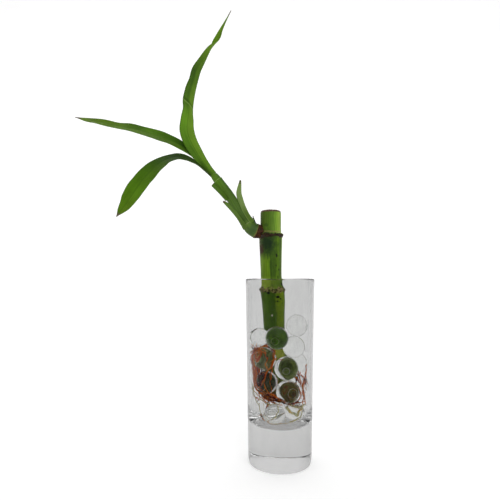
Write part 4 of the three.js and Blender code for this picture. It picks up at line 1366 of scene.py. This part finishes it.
def smooth_line(points, rounds, keep_ends=True):
    points = [Vector(p) for p in points]
    for _ in range(rounds):
        first, last = points[0], points[-1]
        threes = zip([first, *points[:-1]], points, [*points[1:], last])
        points = [(before + 2 * p + after) / 4 for before, p, after in threes]
        if keep_ends:
            points[0], points[-1] = first, last
    return points


def cleared(line, radius):
    """A line moved clear of all, smoothed and moved clear again."""
    line = smooth_line([clear_of_all(p, radius) for p in line], 1)
    return [clear_of_all(p, radius) for p in line]


def taper(count, start, end):
    return [start + (end - start) * share for share in shares(count - 1)]


def crinkle(points, amount, seed):
    """Moves a line's points into small kinks, as real roots have, that fade out at its start."""
    line, run = [], 0.0
    for i, p in enumerate(points):
        run += (p - points[i - 1]).length if i else 0.0
        ease = min(run / 2, 1.0) * amount
        coarse = [wobble(run * 0.33, 3.7 * axis, seed=seed) for axis in range(3)]
        small = [wobble(run * 0.9, 5.3 * axis, seed=seed + 31) for axis in range(3)]
        line.append(p + (Vector(coarse) + 0.45 * Vector(small)) * ease)
    return line


# ---- Roots -----------------------------------------------------------------------------

# The tones that the finer roots beside an orange or a dark one are drawn from.
BESIDE = {"orange": ["orange", "orange", "dark"], "dark": ["dark", "dark", "orange"]}
# Side roots on each of a group's threads.
HAIRS = {"root_threads_crown": 4, "root_threads_low": 6, "root_threads_left": 3}
PLAIN_HAIRS = 2
# Two left roots lie further in below a height, where the shift grows over a few millimetres.
SHIFTED_ROOTS = ("root_left_outer", "root_left_front")
SHIFT_TOP, SHIFT_FADE, SHIFT = 64, 6, 0.8
ROOT_POINTS, THREAD_POINTS, HAIR_POINTS = 90, 56, 12
# How far the kinks move a main root, a thread and a companion.
ROOT_KINKS, THREAD_KINKS, COMPANION_KINKS = 0.35, 0.8, 0.9
# Companions and side roots on each main root.
COMPANIONS, ROOT_HAIRS = 3, 3
THICK_THREAD = 0.25  # a thread thicker than this has two companions


def add_companion(skin, points, reach, radius, tone, seed):
    """A finer root that winds loosely beside a main one."""
    count = len(points)
    first = int(draw.uniform(0, 0.3) * count)
    last = int(draw.uniform(0.7, 1.0) * (count - 1))
    picked = points[first : last + 1]
    phase = draw.uniform(0, 2 * math.pi)
    turns = draw.uniform(0.3, 1.3)
    line = []
    for p, forwards, s in zip(picked, headings(picked), shares(len(picked) - 1)):
        side = forwards.orthogonal().normalized()
        up = forwards.cross(side)
        angle = phase + turns * 2 * math.pi * s
        swing = reach * (0.4 + 0.6 * math.sin(math.pi * min(s * 1.3, 1)))
        swing *= 1 + 0.5 * wobble(s * 6, seed=seed)
        line.append(p + (side * math.cos(angle) + up * math.sin(angle)) * swing)
    line = crinkle(smooth_line(line, 8, keep_ends=False), COMPANION_KINKS, seed)
    line = cleared(line, radius)
    skin.add_tube(line, taper(len(line), radius, radius * 0.45), 6, 0.15, seed, TONES.index(tone))


def add_hair(skin, points, tone, seed):
    """A short side root."""
    at = int(draw.uniform(0.1, 0.95) * (len(points) - 2))
    forwards = headings(points)[at]
    aim = Vector([draw.uniform(-1, 1) for _ in range(3)])
    aim = (aim - forwards * aim.dot(forwards)).normalized()
    heading = (aim + forwards * draw.uniform(0.1, 0.9) + Vector((0, 0, -0.3))).normalized()
    length = draw.uniform(1.5, 4.5)
    line, p = [], Vector(points[at])
    for _ in range(HAIR_POINTS):
        line.append(Vector(p))
        heading += Vector([draw.uniform(-0.4, 0.4) for _ in range(3)])
        heading.normalize()
        p = clear_of_all(p + heading * length / (HAIR_POINTS - 1), 0.1)
    radius = draw.uniform(0.1, 0.17)
    radii = taper(HAIR_POINTS, radius, 0.05)
    skin.add_tube(smooth_line(line, 2), radii, 5, 0.1, seed, TONES.index(tone))


def build_root(name):
    """A CAD root as a finer, less even one with its thinner companions and side roots."""
    centres, radii = root_line(name)
    seed = ROOTS.index(name) + 1
    if name in SHIFTED_ROOTS:
        centres = [c + Vector((SHIFT * clamp((SHIFT_TOP - c.z) / SHIFT_FADE), 0, 0)) for c in centres]
    points = crinkle(smooth_line(resample(centres, ROOT_POINTS), 2), ROOT_KINKS, seed)
    pale = name in PALE_ROOTS
    width = radii[0] * ROOT_WIDTHS.get(name, PALE_WIDTH if pale else PLAIN_WIDTH)
    points = [clear_of_all(p, width) for p in points]
    thick = [
        width * (1 - 0.4 * i / ROOT_POINTS) * (1 + 0.3 * wobble(i / 4, seed=seed))
        for i in range(ROOT_POINTS)
    ]
    skin = Skin()
    main = "pale" if pale else "dark" if name in DARK_ROOTS else "orange"
    skin.add_tube(points, thick, 10, 0.12, seed, TONES.index(main))
    for i in range(0 if pale else COMPANIONS):
        tone = draw.choice(BESIDE["orange"])
        reach = draw.uniform(0.2, 0.75)
        add_companion(skin, points, reach, draw.uniform(0.12, 0.24), tone, seed * 10 + i)
    for i in range(ROOT_HAIRS):
        tone = "pale" if pale else draw.choice(["orange", "orange", "pale", "dark"])
        add_hair(skin, points, tone, seed * 10 + i)
    return place_piece(skin.piece(name + "_strands", root_skins), "root", name)


def build_threads(name, threads):
    """Finer roots that the CAD leaves out, with a few companions each."""
    skin = Skin()
    for number, (radius, tone, route) in enumerate(threads):
        points = smooth_line(resample(route, THREAD_POINTS), 6)
        points = cleared(crinkle(points, THREAD_KINKS, number + len(name)), radius)
        thick = taper(THREAD_POINTS, radius, radius * 0.6)
        thick = [r * (1 + 0.35 * wobble(i / 3, seed=number)) for i, r in enumerate(thick)]
        skin.add_tube(points, thick, 8, 0.15, number, TONES.index(tone))
        if tone not in BESIDE:
            continue
        for i in range(2 if radius > THICK_THREAD else 1):
            other = draw.choice(BESIDE[tone])
            reach = draw.uniform(0.2, 0.6)
            add_companion(skin, points, reach, draw.uniform(0.11, 0.19), other, number * 7 + i)
        for i in range(HAIRS.get(name, PLAIN_HAIRS)):
            add_hair(skin, points, draw.choice(["orange", "orange", "dark", "pale"]), number + i)
    return place_piece(skin.piece(name, root_skins), "root")


# ---- Putting it together -----------------------------------------------------------------

build_vase()
for bead in BEADS:
    build_bead(bead)
build_cane()
build_shoot()
for leaf_name, leaf_rows in LEAVES.items():
    build_leaf(leaf_name, leaf_rows)
for sheath_name, sheath_rows in SHEATHS.items():
    build_sheath(sheath_name, sheath_rows)
for root in ROOTS:
    build_root(root)
for thread_name, thread_rows in THREADS.items():
    build_threads(thread_name, thread_rows)

# ---- The stage, light and camera -----------------------------------------------------------

# Soft lights: place and aim in metres, width and height in metres, and power in watts.
LIGHTS = {
    "top_soft": ((0.0, 0.1, 1.0), (0, 0, 0.15), (1.3, 1.1), 3.6),
    "front_soft": ((0.4, -1.1, 0.6), (0, 0, 0.12), (1.1, 0.7), 6.5),
    "left_soft": ((-1.2, -0.5, 0.5), (0, 0, 0.12), (0.6, 0.6), 1.5),
}
WORLD_STRENGTH = 0.25
# The camera in front of the vase, level with its rim: where the photograph was taken from.
CAMERA_PLACE = (-16.6, -238, 103.4)
FOCAL_PIXELS, FRAME_PIXELS, SENSOR_WIDTH = 427.2, 500, 36.0
HORIZON_ROW = 274.7


def build_stage():
    """A pale floor that sweeps up into a backdrop far behind."""
    front, back, bend, top, half, sunk = -900, 900, 500, 2200, 2500, 0.02
    profile = [(front, 0.0), (0, 0.0), (back - bend, 0.0)]
    for share in shares(16)[1:]:
        angle = math.pi / 2 * share
        profile.append((back - bend + bend * math.sin(angle), bend - bend * math.cos(angle)))
    profile.append((back, top))
    skin = Skin()
    for y, z in profile:
        skin.vertices += [(-half, y, z - sunk), (half, y, z - sunk)]
    for a in range(0, 2 * len(profile) - 2, 2):
        skin.faces.append((a, a + 1, a + 3, a + 2))
        skin.slots.append(0)
    skin.piece("stage_floor", [floor_look()], uvs=False)


def build_light():
    world = bpy.data.worlds.new("studio")
    bpy.context.scene.world = world
    world.use_nodes = True
    background = world.node_tree.nodes["Background"]
    background.inputs["Color"].default_value = (1, 1, 1, 1)
    background.inputs["Strength"].default_value = WORLD_STRENGTH
    for name, (location, aim, size, power) in LIGHTS.items():
        data = bpy.data.lights.new(name, "AREA")
        data.shape = "RECTANGLE"
        data.size, data.size_y = size
        data.energy = power
        light = new_object(name, data)
        light.location = Vector(location)
        light.rotation_euler = (Vector(aim) - light.location).to_track_quat("-Z", "Y").to_euler()


def build_camera():
    data = bpy.data.cameras.new("camera")
    data.sensor_width = SENSOR_WIDTH
    data.lens = FOCAL_PIXELS * SENSOR_WIDTH / FRAME_PIXELS
    data.shift_y = (HORIZON_ROW - FRAME_PIXELS / 2) / FRAME_PIXELS
    data.clip_start = 0.01
    camera = new_object("camera", data)
    camera.location = Vector(CAMERA_PLACE) * MM
    camera.rotation_euler = (math.pi / 2, 0, 0)
    bpy.context.scene.camera = camera


build_stage()
build_light()
build_camera()

scene = bpy.context.scene
scene.view_settings.view_transform = "Standard"
scene.cycles.max_bounces = 40
scene.cycles.transmission_bounces = 36
scene.cycles.glossy_bounces = 12
scene.cycles.diffuse_bounces = 6
scene.cycles.transparent_max_bounces = 24
scene.cycles.use_denoising = True

bpy.context.view_layer.update()
